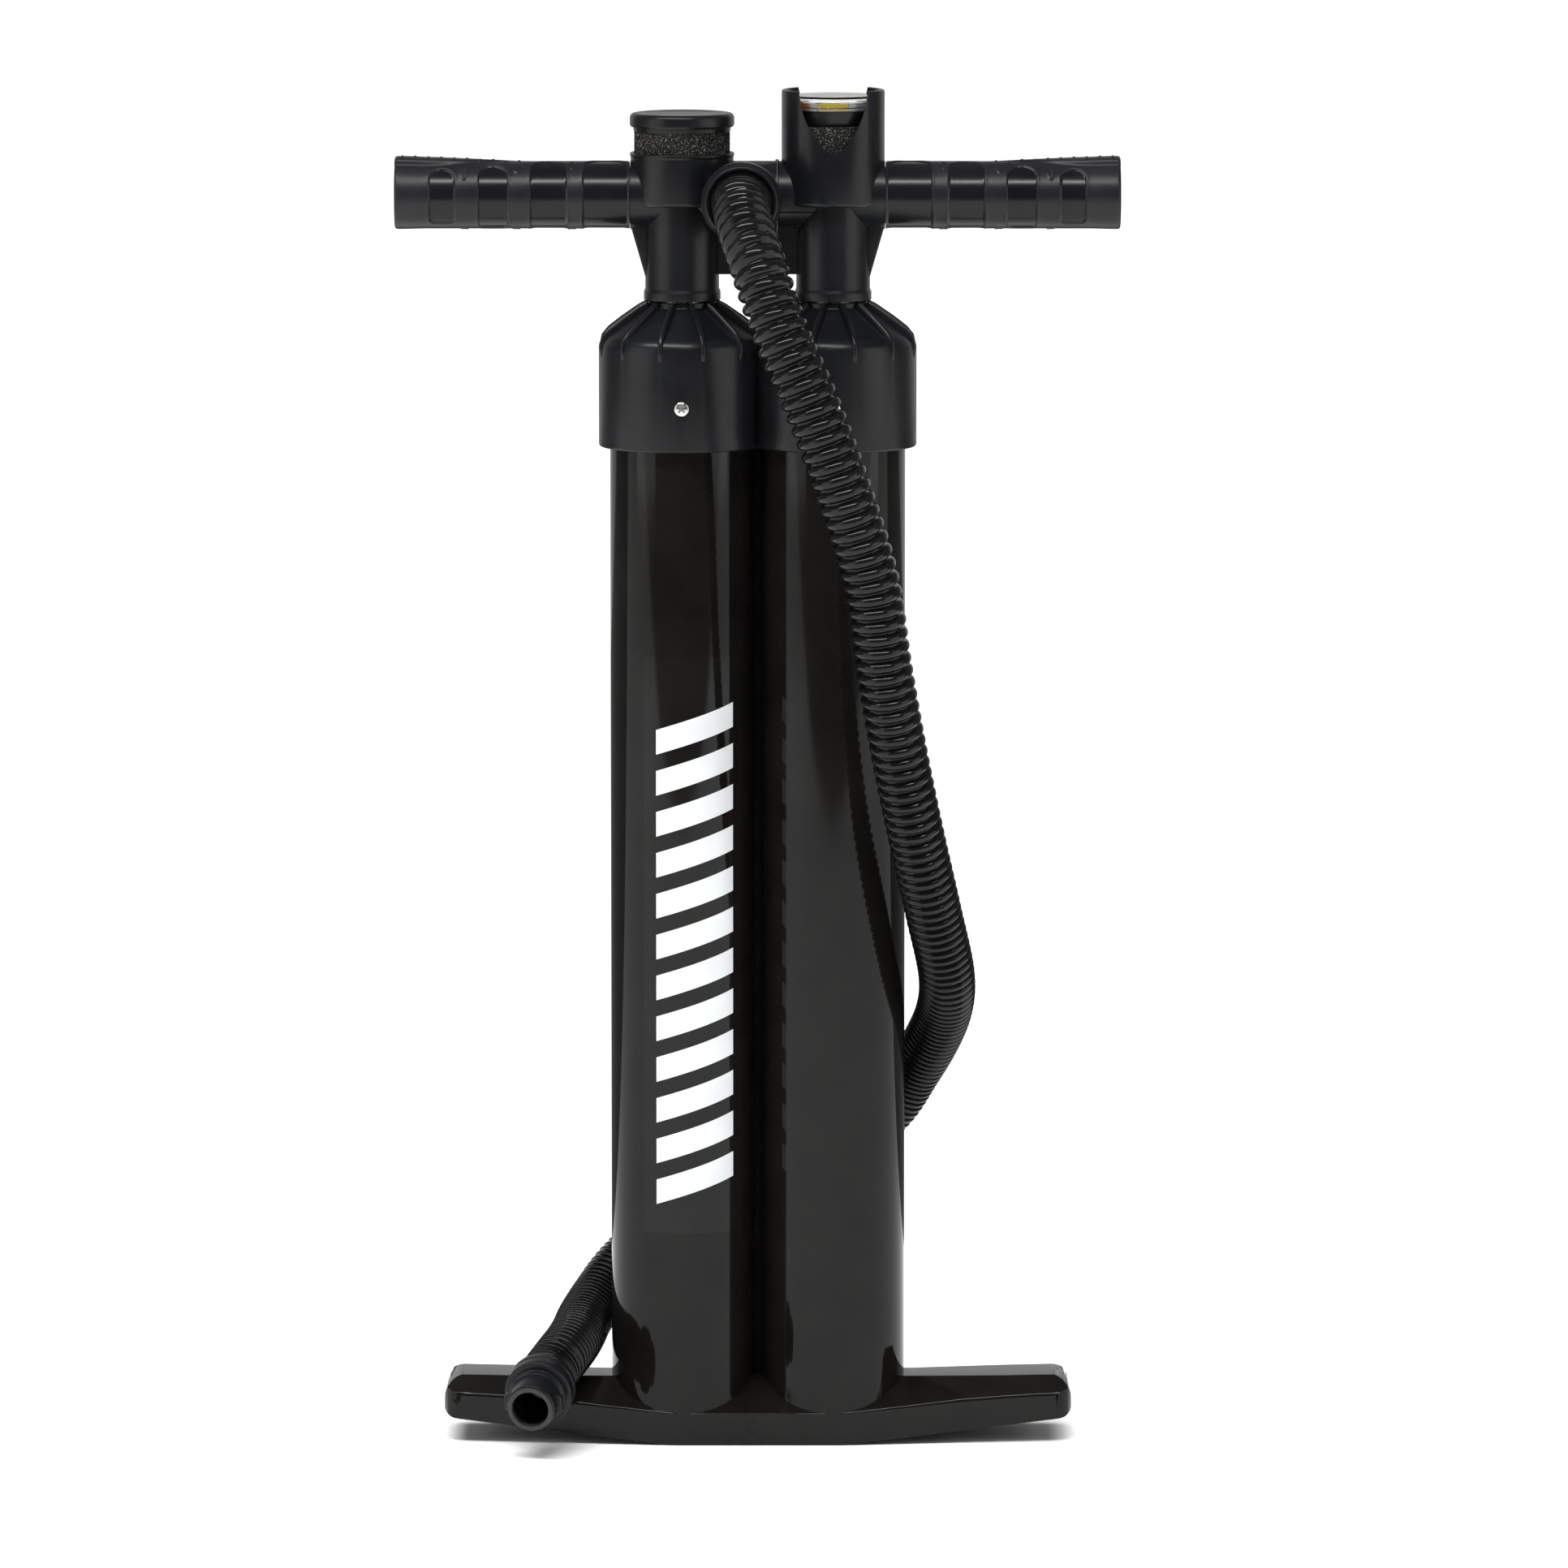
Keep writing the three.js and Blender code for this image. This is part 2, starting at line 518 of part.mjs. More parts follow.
function frontLabel() {
  const [from, to] = [LABEL.from, LABEL.to].map((a) => THREE.MathUtils.degToRad(a - 90));
  const inner = BARREL.r + GAP;
  const sheet = new THREE.Shape();
  sheet.absarc(0, 0, inner + LABEL.thick, from, to, false);
  sheet.absarc(0, 0, inner, to, from, true);
  const geometry = new THREE.ExtrudeGeometry(sheet,
    { depth: LABEL.top - LABEL.bottom, bevelEnabled: false, curveSegments: 14 });
  return solid(geometry.translate(-BARREL.x, 0, LABEL.bottom));
}

function hoseCurve() {
  return new THREE.CatmullRomCurve3(HOSE_PATH.map((p) => new THREE.Vector3(...p)), false, 'centripetal');
}

function hoseTube() {
  const section = new THREE.Shape();
  for (let i = 0; i < HOSE.sides; i += 1) {
    const angle = (i * 2 * Math.PI) / HOSE.sides;
    const corner = [HOSE.r * Math.cos(angle), HOSE.r * Math.sin(angle)];
    if (i === 0) section.moveTo(...corner);
    else section.lineTo(...corner);
  }
  section.closePath();
  return solid(new THREE.ExtrudeGeometry(section,
    { steps: HOSE.steps, extrudePath: hoseCurve(), bevelEnabled: false }));
}

// Turned about the nozzle's axis, from the hose's end forward.
function onNozzleAxis(outline, sides) {
  const { left, down } = NOZZLE_TURN;
  const geometry = turnedGeometry(outline, sides).rotateX(Math.PI / 2)
    .rotateX(THREE.MathUtils.degToRad(down)).rotateZ(THREE.MathUtils.degToRad(-left));
  return solid(geometry.translate(...HOSE_PATH[HOSE_PATH.length - 1]));
}

function hoseCuff() {
  return onNozzleAxis([[CUFF.bore, CUFF.back], [CUFF.r - 1, CUFF.back], [CUFF.r, CUFF.back + 1],
    [CUFF.r, CUFF.front - 1], [CUFF.r - 1, CUFF.front], [CUFF.bore, CUFF.front]], FINE);
}

function nozzle() {
  const { r, bore, back, front, lugR, lugFrom, lugTo, lugHalf } = NOZZLE;
  const body = onNozzleAxis([[bore, back], [r + 2, back], [r + 2, back + 2], [r, back + 3],
    [r, front - 0.6], [r - 0.6, front], [bore, front]], FINE);
  const lugRing = onNozzleAxis([[bore + 1, lugFrom], [lugR, lugFrom], [lugR, lugTo], [bore + 1, lugTo]], FINE);
  const [x, y, z] = HOSE_PATH[HOSE_PATH.length - 1];
  const down = Math.sin(THREE.MathUtils.degToRad(NOZZLE_TURN.down));
  const middle = z - (down * (lugFrom + lugTo)) / 2;
  const band = block(x - 40, x + 40, y - 60, y + 10, middle - lugHalf, middle + lugHalf);
  return body.add(lugRing.intersect(band));
}

function nozzleGasket() {
  return onNozzleAxis([[GASKET.inner, GASKET.from], [GASKET.outer, GASKET.from],
    [GASKET.outer, GASKET.to], [GASKET.inner, GASKET.to]], FINE);
}

// ---------- the pump ----------

place('twin_barrel', twinBarrel(), 'gloss');
place('twin_cap', twinCap(), 'satin');
place('front_label', frontLabel(), 'label');
for (const [name, side] of SIDES_OF_PUMP) {
  placeBarrelPieces(name, side);
  place(`grip_${name}`, grip(side), 'grip');
}
place('handle_left', handleLeft(), 'satin');
place('handle_right', handleRight(), 'satin');
place('joint_sleeve', turnedAlongX([[SLEEVE.bore, SLEEVE.from], [SLEEVE.r, SLEEVE.from],
  [SLEEVE.r, SLEEVE.to], [SLEEVE.bore, SLEEVE.to]], FINE, BAR.z), 'nylon');
place('filter_foam', ring(CUP.postR + GAP, FOAM.r, FOAM.bottom, FOAM.top, FINE, -BARREL.x), 'foam');
place('filter_cap', filterCap(), 'satin');
place('gauge_foam', ring(CUP.postR + GAP, GAUGE_FOAM.r, GAUGE_FOAM.bottom, GAUGE_FOAM.top,
  FINE, BARREL.x), 'foam');
place('gauge_housing', gaugeHousing(), 'satin');
place('gauge_dial', disc(DIAL.r, DIAL.bottom, DIAL.top, FINE, BARREL.x), 'dial');
place('gauge_needle', gaugeNeedle(), 'needle');
place('gauge_lens', disc(LENS.r, LENS.bottom, LENS.top, SIDES, BARREL.x), 'lens');
place('hose_nut', hoseNut(), 'satin');
place('hose_tube', hoseTube(), 'hose');
place('hose_cuff', hoseCuff(), 'satin');
place('nozzle', nozzle(), 'satin');
place('nozzle_gasket', nozzleGasket(), 'rubber');

export default pump;
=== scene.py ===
# Twin-barrel hand pump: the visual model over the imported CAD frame.
# Lengths are written in millimetres and turned to metres by mm(). +Z is up and -Y is the front.
import bisect
import math
import random

import bmesh
import bpy
from mathutils import Matrix, Vector


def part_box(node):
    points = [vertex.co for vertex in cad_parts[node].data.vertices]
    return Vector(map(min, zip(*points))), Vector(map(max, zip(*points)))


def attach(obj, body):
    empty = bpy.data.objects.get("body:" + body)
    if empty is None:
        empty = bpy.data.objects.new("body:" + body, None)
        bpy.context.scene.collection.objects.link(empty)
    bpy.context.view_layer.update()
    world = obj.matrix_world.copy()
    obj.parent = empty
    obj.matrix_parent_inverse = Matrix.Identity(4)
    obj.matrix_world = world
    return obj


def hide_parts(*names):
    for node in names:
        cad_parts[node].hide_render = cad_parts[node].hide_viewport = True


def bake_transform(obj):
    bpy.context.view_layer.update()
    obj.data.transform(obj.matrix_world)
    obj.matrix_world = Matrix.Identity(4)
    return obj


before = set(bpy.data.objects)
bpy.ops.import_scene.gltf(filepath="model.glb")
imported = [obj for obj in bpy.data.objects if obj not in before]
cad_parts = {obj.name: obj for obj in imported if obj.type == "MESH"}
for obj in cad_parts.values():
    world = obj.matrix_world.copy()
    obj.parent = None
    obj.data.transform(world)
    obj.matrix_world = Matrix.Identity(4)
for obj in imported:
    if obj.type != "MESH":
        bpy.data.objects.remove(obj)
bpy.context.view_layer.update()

MM = 0.001
SIDES = ("left", "right")
SIGN = {"left": -1, "right": 1}


def mm(*values):
    """Millimetres as a vector in metres."""
    return Vector(values) * MM


def centre_of(node):
    low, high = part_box(node)
    return (low + high) / 2 / MM


# ---------- places taken from the frame, in millimetres ----------

BARREL_X = centre_of("rod_right").x
BAR_Z = centre_of("grip_right").z
GRIP_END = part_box("grip_right")[1].x / MM
GRIP_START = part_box("grip_right")[0].x / MM
PORT = centre_of("hose_nut")

# ---------- sizes typed from part.mjs, in millimetres ----------

BARREL_TOP = 500.0
BARREL_R = 33.0
BORE_R = 30.0
SEAM_X = 8.9
SCREW_Z = 477.7

# ---------- mesh helpers ----------


def new_object(name, mesh):
    obj = bpy.data.objects.new(name, mesh)
    bpy.context.scene.collection.objects.link(obj)
    return obj


def mesh_object(name, verts, faces):
    mesh = bpy.data.meshes.new(name)
    mesh.from_pydata([tuple(mm(*v)) for v in verts], [], faces)
    bm = bmesh.new()
    bm.from_mesh(mesh)
    bmesh.ops.recalc_face_normals(bm, faces=bm.faces)
    bm.to_mesh(mesh)
    bm.free()
    return new_object(name, mesh)


def rounded(points, steps=5):
    """An outline of (a, b) or (a, b, fillet) points, with the filleted corners as arcs."""
    out = []
    count = len(points)
    for i, point in enumerate(points):
        fillet = point[2] if len(point) > 2 else 0
        here = Vector(point[:2])
        if not fillet:
            out.append(here)
            continue
        before = Vector(points[i - 1][:2])
        after = Vector(points[(i + 1) % count][:2])
        a = (before - here).normalized()
        b = (after - here).normalized()
        half = a.angle(b) / 2
        reach = fillet / math.tan(half)
        centre = here + (a + b).normalized() * (fillet / math.sin(half))
        start = here + a * reach - centre
        end = here + b * reach - centre
        turn = start.angle_signed(end)
        for k in range(steps + 1):
            spin = Matrix.Rotation(-turn * k / steps, 2)
            out.append(centre + spin @ start)
    return [(p.x, p.y) for p in out]


def tube_faces(rings, sides):
    """Quads between closed rings of points that follow each other."""
    faces = []
    for i in range(rings - 1):
        for k in range(sides):
            k2 = (k + 1) % sides
            a, b = i * sides, (i + 1) * sides
            faces.append((a + k, a + k2, b + k2, b + k))
    return faces


def turned(name, outline, at=(0, 0, 0), axis="Z", sides=128, ripple=None):
    """A closed outline of (radius, height) points turned about an axis through at."""
    verts, rings = [], []
    for index, (r, h) in enumerate(outline):
        if r < 1e-6:
            rings.append([len(verts)])
            verts.append((0.0, 0.0, h))
            continue
        rings.append(list(range(len(verts), len(verts) + sides)))
        for k in range(sides):
            angle = 2 * math.pi * k / sides
            here = r + (ripple(index, k, h) if ripple else 0)
            verts.append((here * math.cos(angle), here * math.sin(angle), h))
    faces = []
    for i, ring in enumerate(rings):
        other = rings[(i + 1) % len(rings)]
        if len(ring) == 1 and len(other) == 1:
            continue
        for k in range(sides):
            k2 = (k + 1) % sides
            if len(ring) == 1:
                faces.append((ring[0], other[k2], other[k]))
            elif len(other) == 1:
                faces.append((ring[k], ring[k2], other[0]))
            else:
                faces.append((ring[k], ring[k2], other[k2], other[k]))
    turn = {
        "Z": lambda v: v,
        "X": lambda v: (v[2], v[1], -v[0]),
        "-Y": lambda v: (v[0], -v[2], v[1]),
    }[axis]
    moved = [tuple(c + o for c, o in zip(turn(v), at)) for v in verts]
    return mesh_object(name, moved, faces)


def prism(name, outline, low, high, axis="Y"):
    """A closed outline drawn out along an axis. (x, z) points along Y, (y, z) along X, (x, y) along Z."""
    turn = {
        "Y": lambda a, b, d: (a, d, b),
        "X": lambda a, b, d: (d, a, b),
        "Z": lambda a, b, d: (a, b, d),
    }[axis]
    count = len(outline)
    verts = [turn(a, b, d) for d in (low, high) for a, b in outline]
    faces = [tuple(range(count)), tuple(range(2 * count - 1, count - 1, -1))]
    for i in range(count):
        j = (i + 1) % count
        faces.append((i, j, count + j, count + i))
    return mesh_object(name, verts, faces)


def apply_modifiers(obj):
    depsgraph = bpy.context.evaluated_depsgraph_get()
    mesh = bpy.data.meshes.new_from_object(obj.evaluated_get(depsgraph))
    obj.modifiers.clear()
    old = obj.data
    obj.data = mesh
    bpy.data.meshes.remove(old)
    return obj


def boolean(obj, others, operation):
    for other in others:
        modifier = obj.modifiers.new("boolean", "BOOLEAN")
        modifier.operation = operation
        modifier.solver = "EXACT"
        modifier.object = other
        apply_modifiers(obj)
        data = other.data
        bpy.data.objects.remove(other)
        bpy.data.meshes.remove(data)
    return obj


def union(obj, *others):
    return boolean(obj, others, "UNION")


def cut(obj, *others):
    return boolean(obj, others, "DIFFERENCE")


def bevel(obj, width, angle=30, segments=3):
    modifier = obj.modifiers.new("bevel", "BEVEL")
    modifier.width = width * MM
    modifier.segments = segments
    modifier.limit_method = "ANGLE"
    modifier.angle_limit = math.radians(angle)
    modifier.harden_normals = False
    return apply_modifiers(obj)


def weld(obj, distance=0.004):
    bm = bmesh.new()
    bm.from_mesh(obj.data)
    bmesh.ops.remove_doubles(bm, verts=bm.verts, dist=distance * MM)
    bmesh.ops.dissolve_degenerate(bm, edges=bm.edges, dist=distance * MM)
    bm.to_mesh(obj.data)
    bm.free()
    return obj


def smooth(obj, angle=35):
    obj.data.shade_smooth()
    obj.data.set_sharp_from_angle(angle=math.radians(angle))
    return obj


def place(obj, body, materials, replaces=(), angle=35):
    """Finishes a piece: its materials, shading, body and the CAD nodes it stands for."""
    names = materials if isinstance(materials, (list, tuple)) else [materials]
    while len(obj.data.materials) < len(names):
        obj.data.materials.append(None)
    for i, material in enumerate(names):
        obj.data.materials[i] = material
    smooth(obj, angle)
    if replaces:
        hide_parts(*([replaces] if isinstance(replaces, str) else replaces))
    if body:
        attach(obj, body)
    return obj


# ---------- materials ----------


class Nodes:
    """A material's node tree, with short names for the nodes used here."""

    def __init__(self, name):
        self.material = bpy.data.materials.new(name)
        self.material.use_nodes = True
        self.tree = self.material.node_tree
        self.shader = self.tree.nodes["Principled BSDF"]
        coords = self.tree.nodes.new("ShaderNodeTexCoord")
        self.coords = coords.outputs["Object"]

    def link(self, a, b):
        self.tree.links.new(a, b)

    def stretched(self, scale):
        mapping = self.tree.nodes.new("ShaderNodeMapping")
        mapping.inputs["Scale"].default_value = scale
        self.link(self.coords, mapping.inputs["Vector"])
        return mapping.outputs["Vector"]

    def noise(self, per_metre, detail=3.0, vector=None, roughness=0.5):
        node = self.tree.nodes.new("ShaderNodeTexNoise")
        node.inputs["Scale"].default_value = per_metre
        node.inputs["Detail"].default_value = detail
        node.inputs["Roughness"].default_value = roughness
        self.link(vector or self.coords, node.inputs["Vector"])
        return node.outputs["Fac"]

    def cells(self, per_metre, feature="F1"):
        node = self.tree.nodes.new("ShaderNodeTexVoronoi")
        node.feature = feature
        node.inputs["Scale"].default_value = per_metre
        self.link(self.coords, node.inputs["Vector"])
        return node

    def range(self, value, low, high, to_low, to_high):
        node = self.tree.nodes.new("ShaderNodeMapRange")
        for name, number in (
            ("From Min", low),
            ("From Max", high),
            ("To Min", to_low),
            ("To Max", to_high),
        ):
            node.inputs[name].default_value = number
        self.link(value, node.inputs["Value"])
        return node.outputs["Result"]

    def mix(self, factor, a, b):
        node = self.tree.nodes.new("ShaderNodeMix")
        node.data_type = "RGBA"
        node.inputs["A"].default_value = (*a, 1)
        node.inputs["B"].default_value = (*b, 1)
        self.link(factor, node.inputs["Factor"])
        return node.outputs["Result"]

    def bump(self, height, depth, normal=None):
        node = self.tree.nodes.new("ShaderNodeBump")
        node.inputs["Strength"].default_value = 1.0
        node.inputs["Distance"].default_value = depth * MM
        self.link(height, node.inputs["Height"])
        if normal:
            self.link(normal, node.inputs["Normal"])
        return node.outputs["Normal"]

    def set(self, **values):
        for name, value in values.items():
            socket = self.shader.inputs[name.replace("_", " ")]
            if isinstance(value, bpy.types.NodeSocket):
                self.link(value, socket)
            else:
                socket.default_value = value
        return self


def plastic(name, dark, light, rough, grain, depth, wave=0.0, specular=0.5):
    """Moulded plastic: mottled colour, a fine grain and, if wave is set, slow sink marks."""
    nodes = Nodes(name)
    clouds = nodes.noise(38, 4)
    nodes.set(
        Base_Color=nodes.mix(nodes.range(clouds, 0.35, 0.65, 0, 1), dark, light),
        Roughness=nodes.range(nodes.noise(120, 5), 0.3, 0.7, rough * 0.9, rough * 1.12),
        Specular_IOR_Level=specular,
    )
    normal = nodes.bump(nodes.noise(grain, 2), depth)
    if wave:
        slow = nodes.noise(14, 2, nodes.stretched((1, 1, 0.12)))
        normal = nodes.bump(slow, wave, normal)
    nodes.set(Normal=normal)
    return nodes.material


def foam_material():
    """Open-cell foam: near-black cells as painted shade in the holes, and the strands between them painted
    lighter as painted highlights with painted glints.
    """
    nodes = Nodes("open_cell_foam")
    cells = nodes.cells(880, "DISTANCE_TO_EDGE").outputs["Distance"]
    strands = nodes.range(cells, 0.0, 0.14, 1, 0)
    glint = nodes.range(nodes.noise(1300, 2), 0.5, 0.62, 0.05, 1)
    both = nodes.tree.nodes.new("ShaderNodeMath")
    both.operation = "MULTIPLY"
    nodes.link(strands, both.inputs[0])
    nodes.link(glint, both.inputs[1])
    # The base colour paints shade into the cells, and painted highlights and glints onto the strands.
    nodes.set(
        Base_Color=nodes.mix(both.outputs[0], (0.0035, 0.0035, 0.0035), (0.34, 0.32, 0.29)),
        Roughness=nodes.range(both.outputs[0], 0, 1, 0.8, 0.35),
        Specular_IOR_Level=0.2,
        Normal=nodes.bump(strands, 0.6),
    )
    return nodes.material


def steel_material():
    nodes = Nodes("bright_steel")
    nodes.set(
        Base_Color=nodes.mix(nodes.noise(900, 3), (0.62, 0.60, 0.57), (0.80, 0.79, 0.77)),
        Metallic=1.0,
        Roughness=nodes.range(nodes.noise(600, 4), 0.3, 0.7, 0.16, 0.3),
        Normal=nodes.bump(nodes.noise(2500, 2), 0.01),
    )
    return nodes.material


def rod_material():
    """Drawn aluminium tube with fine lines along its length."""
    nodes = Nodes("drawn_aluminium")
    lines = nodes.noise(900, 3, nodes.stretched((1, 1, 0.01)))
    nodes.set(
        Base_Color=nodes.mix(lines, (0.60, 0.61, 0.62), (0.78, 0.79, 0.80)),
        Metallic=1.0,
        Roughness=nodes.range(lines, 0.3, 0.7, 0.2, 0.32),
        Normal=nodes.bump(lines, 0.01),
    )
    return nodes.material


def lens_material():
    nodes = Nodes("clear_lens")
    haze = nodes.noise(400, 3)
    nodes.set(
        Base_Color=(0.90, 0.92, 0.90, 1),
        Roughness=nodes.range(haze, 0.3, 0.7, 0.02, 0.05),
        Transmission_Weight=1.0,
        IOR=1.49,
    )
    return nodes.material


MATERIAL = {
    "gloss": plastic("gloss_barrel", (0.0045, 0.0040, 0.0036), (0.0066, 0.0060, 0.0054),
                     0.06, 1800, 0.0012, wave=0.35, specular=0.17),
    "satin": plastic("satin_moulding", (0.0038, 0.0041, 0.0048), (0.0060, 0.0064, 0.0074),
                     0.29, 2600, 0.010, wave=0.12, specular=0.23),
    "grip": plastic("soft_grip", (0.0060, 0.0062, 0.0072), (0.0095, 0.0098, 0.0112),
                    0.36, 3000, 0.014, specular=0.25),
    "core": plastic("grip_core", (0.0032, 0.0034, 0.0040), (0.0050, 0.0052, 0.0060),
                    0.21, 2200, 0.004, wave=0.2, specular=0.22),
    "hose": plastic("hose_plastic", (0.0036, 0.0036, 0.0040), (0.0056, 0.0056, 0.0062),
                    0.15, 2400, 0.004, specular=0.24),
    "rubber": plastic("seal_rubber", (0.010, 0.010, 0.010), (0.016, 0.016, 0.016),
                      0.55, 2600, 0.012),
    "nylon": plastic("white_nylon", (0.60, 0.585, 0.54), (0.68, 0.665, 0.62),
                     0.4, 1800, 0.008),
    "film": plastic("clear_film", (0.0050, 0.0046, 0.0042), (0.0070, 0.0066, 0.0060),
                    0.05, 2600, 0.0015, wave=0.3, specular=0.20),
    "print": plastic("white_print", (0.60, 0.62, 0.63), (0.67, 0.69, 0.70),
                     0.32, 2000, 0.004),
    "dial": plastic("dial_face", (0.17, 0.17, 0.155), (0.21, 0.21, 0.19), 0.45, 1500, 0.004),
    "yellow": plastic("dial_yellow", (0.50, 0.34, 0.006), (0.55, 0.38, 0.012), 0.4, 1500, 0.004),
    "orange": plastic("dial_orange", (0.42, 0.11, 0.015), (0.46, 0.14, 0.02), 0.4, 1500, 0.004),
    "ink": plastic("dial_ink", (0.015, 0.015, 0.015), (0.025, 0.025, 0.025), 0.4, 1500, 0.004),
    "foam": foam_material(),
    "steel": steel_material(),
    "rod": rod_material(),
    "lens": lens_material(),
}

# ---------- camera, lights and floor, in metres ----------

VIEW_TARGET = mm(12, 0, 301.7)
VIEW_ELEVATION = 7.4
VIEW_DISTANCE = 5.0
VIEW_LENS = 250.6
OVERHEAD_STRENGTH = 3.75
OVERHEAD_SPREAD = 75
AROUND_STRENGTH = 0.17


def add_camera():
    data = bpy.data.cameras.new("camera")
    data.lens = VIEW_LENS
    data.sensor_width = 36
    data.clip_end = 50
    camera = bpy.data.objects.new("camera", data)
    bpy.context.scene.collection.objects.link(camera)
    angle = math.radians(VIEW_ELEVATION)
    away = Vector((0, -math.cos(angle), math.sin(angle)))
    camera.location = VIEW_TARGET + away * VIEW_DISTANCE
    camera.rotation_euler = away.to_track_quat("Z", "Y").to_euler()
    bpy.context.scene.camera = camera


def area_light(name, place_at, aim, size, power):
    data = bpy.data.lights.new(name, "AREA")
    data.shape = "RECTANGLE"
    data.size, data.size_y = size
    data.energy = power
    light = bpy.data.objects.new(name, data)
    bpy.context.scene.collection.objects.link(light)
    light.location = place_at
    aim_line = Vector(place_at) - Vector(aim)
    light.rotation_euler = aim_line.to_track_quat("Z", "Y").to_euler()
    return light


def add_lights():
    middle = (0, 0, 0.3)
    area_light("left_box", (-2.4, -1.4, 1.0), middle, (1.8, 1.8), 16)
    area_light("right_box", (2.4, -1.4, 1.0), middle, (1.8, 1.8), 18)
    area_light("front_top_box", (-0.5, -1.2, 2.4), middle, (2.6, 0.3), 56)
    overhead_data = bpy.data.lights.new("overhead", "SUN")
    overhead_data.energy = OVERHEAD_STRENGTH
    overhead_data.angle = math.radians(OVERHEAD_SPREAD)
    overhead = bpy.data.objects.new("overhead", overhead_data)
    bpy.context.scene.collection.objects.link(overhead)
    overhead.visible_glossy = False
    glow = area_light("back_glow", (0, 2.4, 0.9), (0, 0, 0.5), (6.0, 1.7), 15)
    glow.visible_camera = False
    glow.visible_diffuse = False


def add_world():
    """White to the camera past the floor's edge, and faint to every other ray."""
    world = bpy.data.worlds.new("studio")
    bpy.context.scene.world = world
    world.use_nodes = True
    tree = world.node_tree
    soft = tree.nodes["Background"]
    soft.inputs["Strength"].default_value = AROUND_STRENGTH
    soft.inputs["Color"].default_value = (1, 1, 1, 1)
    wall = tree.nodes.new("ShaderNodeBackground")
    mix = tree.nodes.new("ShaderNodeMixShader")
    rays = tree.nodes.new("ShaderNodeLightPath")
    tree.links.new(rays.outputs["Is Camera Ray"], mix.inputs[0])
    tree.links.new(soft.outputs[0], mix.inputs[1])
    tree.links.new(wall.outputs[0], mix.inputs[2])
    tree.links.new(mix.outputs[0], tree.nodes["World Output"].inputs["Surface"])
    wall.inputs["Color"].default_value = (1, 1, 1, 1)


def stage_sheet(name, outline, width, material, in_reflections):
    verts = [(x, y, z) for x in (-width, width) for y, z in outline]
    count = len(outline)
    faces = [(i, i + 1, count + i + 1, count + i) for i in range(count - 1)]
    mesh = bpy.data.meshes.new(name)
    mesh.from_pydata(verts, [], faces)
    sheet = new_object(name, mesh)
    sheet.data.shade_smooth()
    sheet.data.materials.append(material)
    sheet.visible_glossy = in_reflections


def add_stage():
    """A flat pale floor on all sides. Only the part near the pump shows in its reflections."""
    nodes = Nodes("pale_paper")
    nodes.set(
        Base_Color=nodes.mix(nodes.noise(3, 2), (0.89, 0.89, 0.89), (0.92, 0.92, 0.92)),
        Roughness=0.9,
    )
    front, back, far = -2.2, 0.5, 16.0
    stage_sheet("floor_near", [(front, 0.0), (back, 0.0)], far, nodes.material, True)
    stage_sheet("floor_front", [(-far, 0.0), (front, 0.0)], far, nodes.material, False)
    stage_sheet("floor_back", [(back, 0.0), (far, 0.0)], far, nodes.material, False)


# ---------- hose ----------

# The route of part.mjs, in millimetres.
HOSE_PATH = [
    (-7.3, -39.5, 571), (-7.3, -46, 571), (-7, -60, 569.2), (-5.5, -73, 563.8),
    (-2.5, -84.2, 555.2), (1.5, -92.8, 544), (10, -100, 519),
    (25, -101.5, 484), (39, -99, 445), (51, -92, 405), (57, -84, 365), (64, -72, 325),
    (72, -56, 285), (80, -36, 248), (86.5, -14, 215), (85.5, 6, 196), (80, 21, 180),
    (72, 33, 164.5), (61, 42.5, 146), (44, 49, 130), (22, 50, 117), (-4, 50, 106.5),
    (-28, 50, 96), (-48, 48.5, 84), (-64.5, 40, 69.5), (-74, 29, 58), (-80, 15.5, 50.5),
    (-83, 2, 46), (-86, -11, 43), (-91, -24, 38.6), (-95.7, -33.4, 33.8), (-97.6, -43, 31.4),
]
HOSE_START = (-7.3, -36.5, 571)
HOSE_R = 13.0
HOSE_SIDES = 48
RIB_SHARE = 0.78
RINGS_PER_RIB = 12
LINE_STEPS = 300
# Share of the hose's length, and the pitch of the ribs there.
HOSE_PITCHES = [(0, 6.6), (0.30, 6.3), (0.42, 5.4), (0.52, 4.2), (0.60, 3.1), (1, 2.8)]


def catmull_rom(points, per_span=60):
    """Centripetal Catmull-Rom curve through the points, as three.js draws it."""
    pts = [Vector(p) for p in points]
    pts = [2 * pts[0] - pts[1], *pts, 2 * pts[-1] - pts[-2]]
    line = []
    for i in range(1, len(pts) - 2):
        p0, p1, p2, p3 = pts[i - 1 : i + 3]
        t0 = 0.0
        t1 = t0 + math.sqrt((p1 - p0).length)
        t2 = t1 + math.sqrt((p2 - p1).length)
        t3 = t2 + math.sqrt((p3 - p2).length)
        for k in range(per_span):
            t = t1 + (t2 - t1) * k / per_span
            a1 = p0.lerp(p1, (t - t0) / (t1 - t0))
            a2 = p1.lerp(p2, (t - t1) / (t2 - t1))
            a3 = p2.lerp(p3, (t - t2) / (t3 - t2))
            b1 = a1.lerp(a2, (t - t0) / (t2 - t0))
            b2 = a2.lerp(a3, (t - t1) / (t3 - t1))
            line.append(b1.lerp(b2, (t - t1) / (t2 - t1)))
    line.append(pts[-2])
    return line


class Route:
    """A dense line with its arc length, sampled evenly."""

    def __init__(self, line):
        self.line = line
        self.at = [0.0]
        for a, b in zip(line, line[1:]):
            self.at.append(self.at[-1] + (b - a).length)
        self.length = self.at[-1]

    def point(self, s):
        i = min(max(bisect.bisect_left(self.at, s), 1), len(self.at) - 1)
        span = self.at[i] - self.at[i - 1]
        return self.line[i - 1].lerp(self.line[i], (s - self.at[i - 1]) / span)


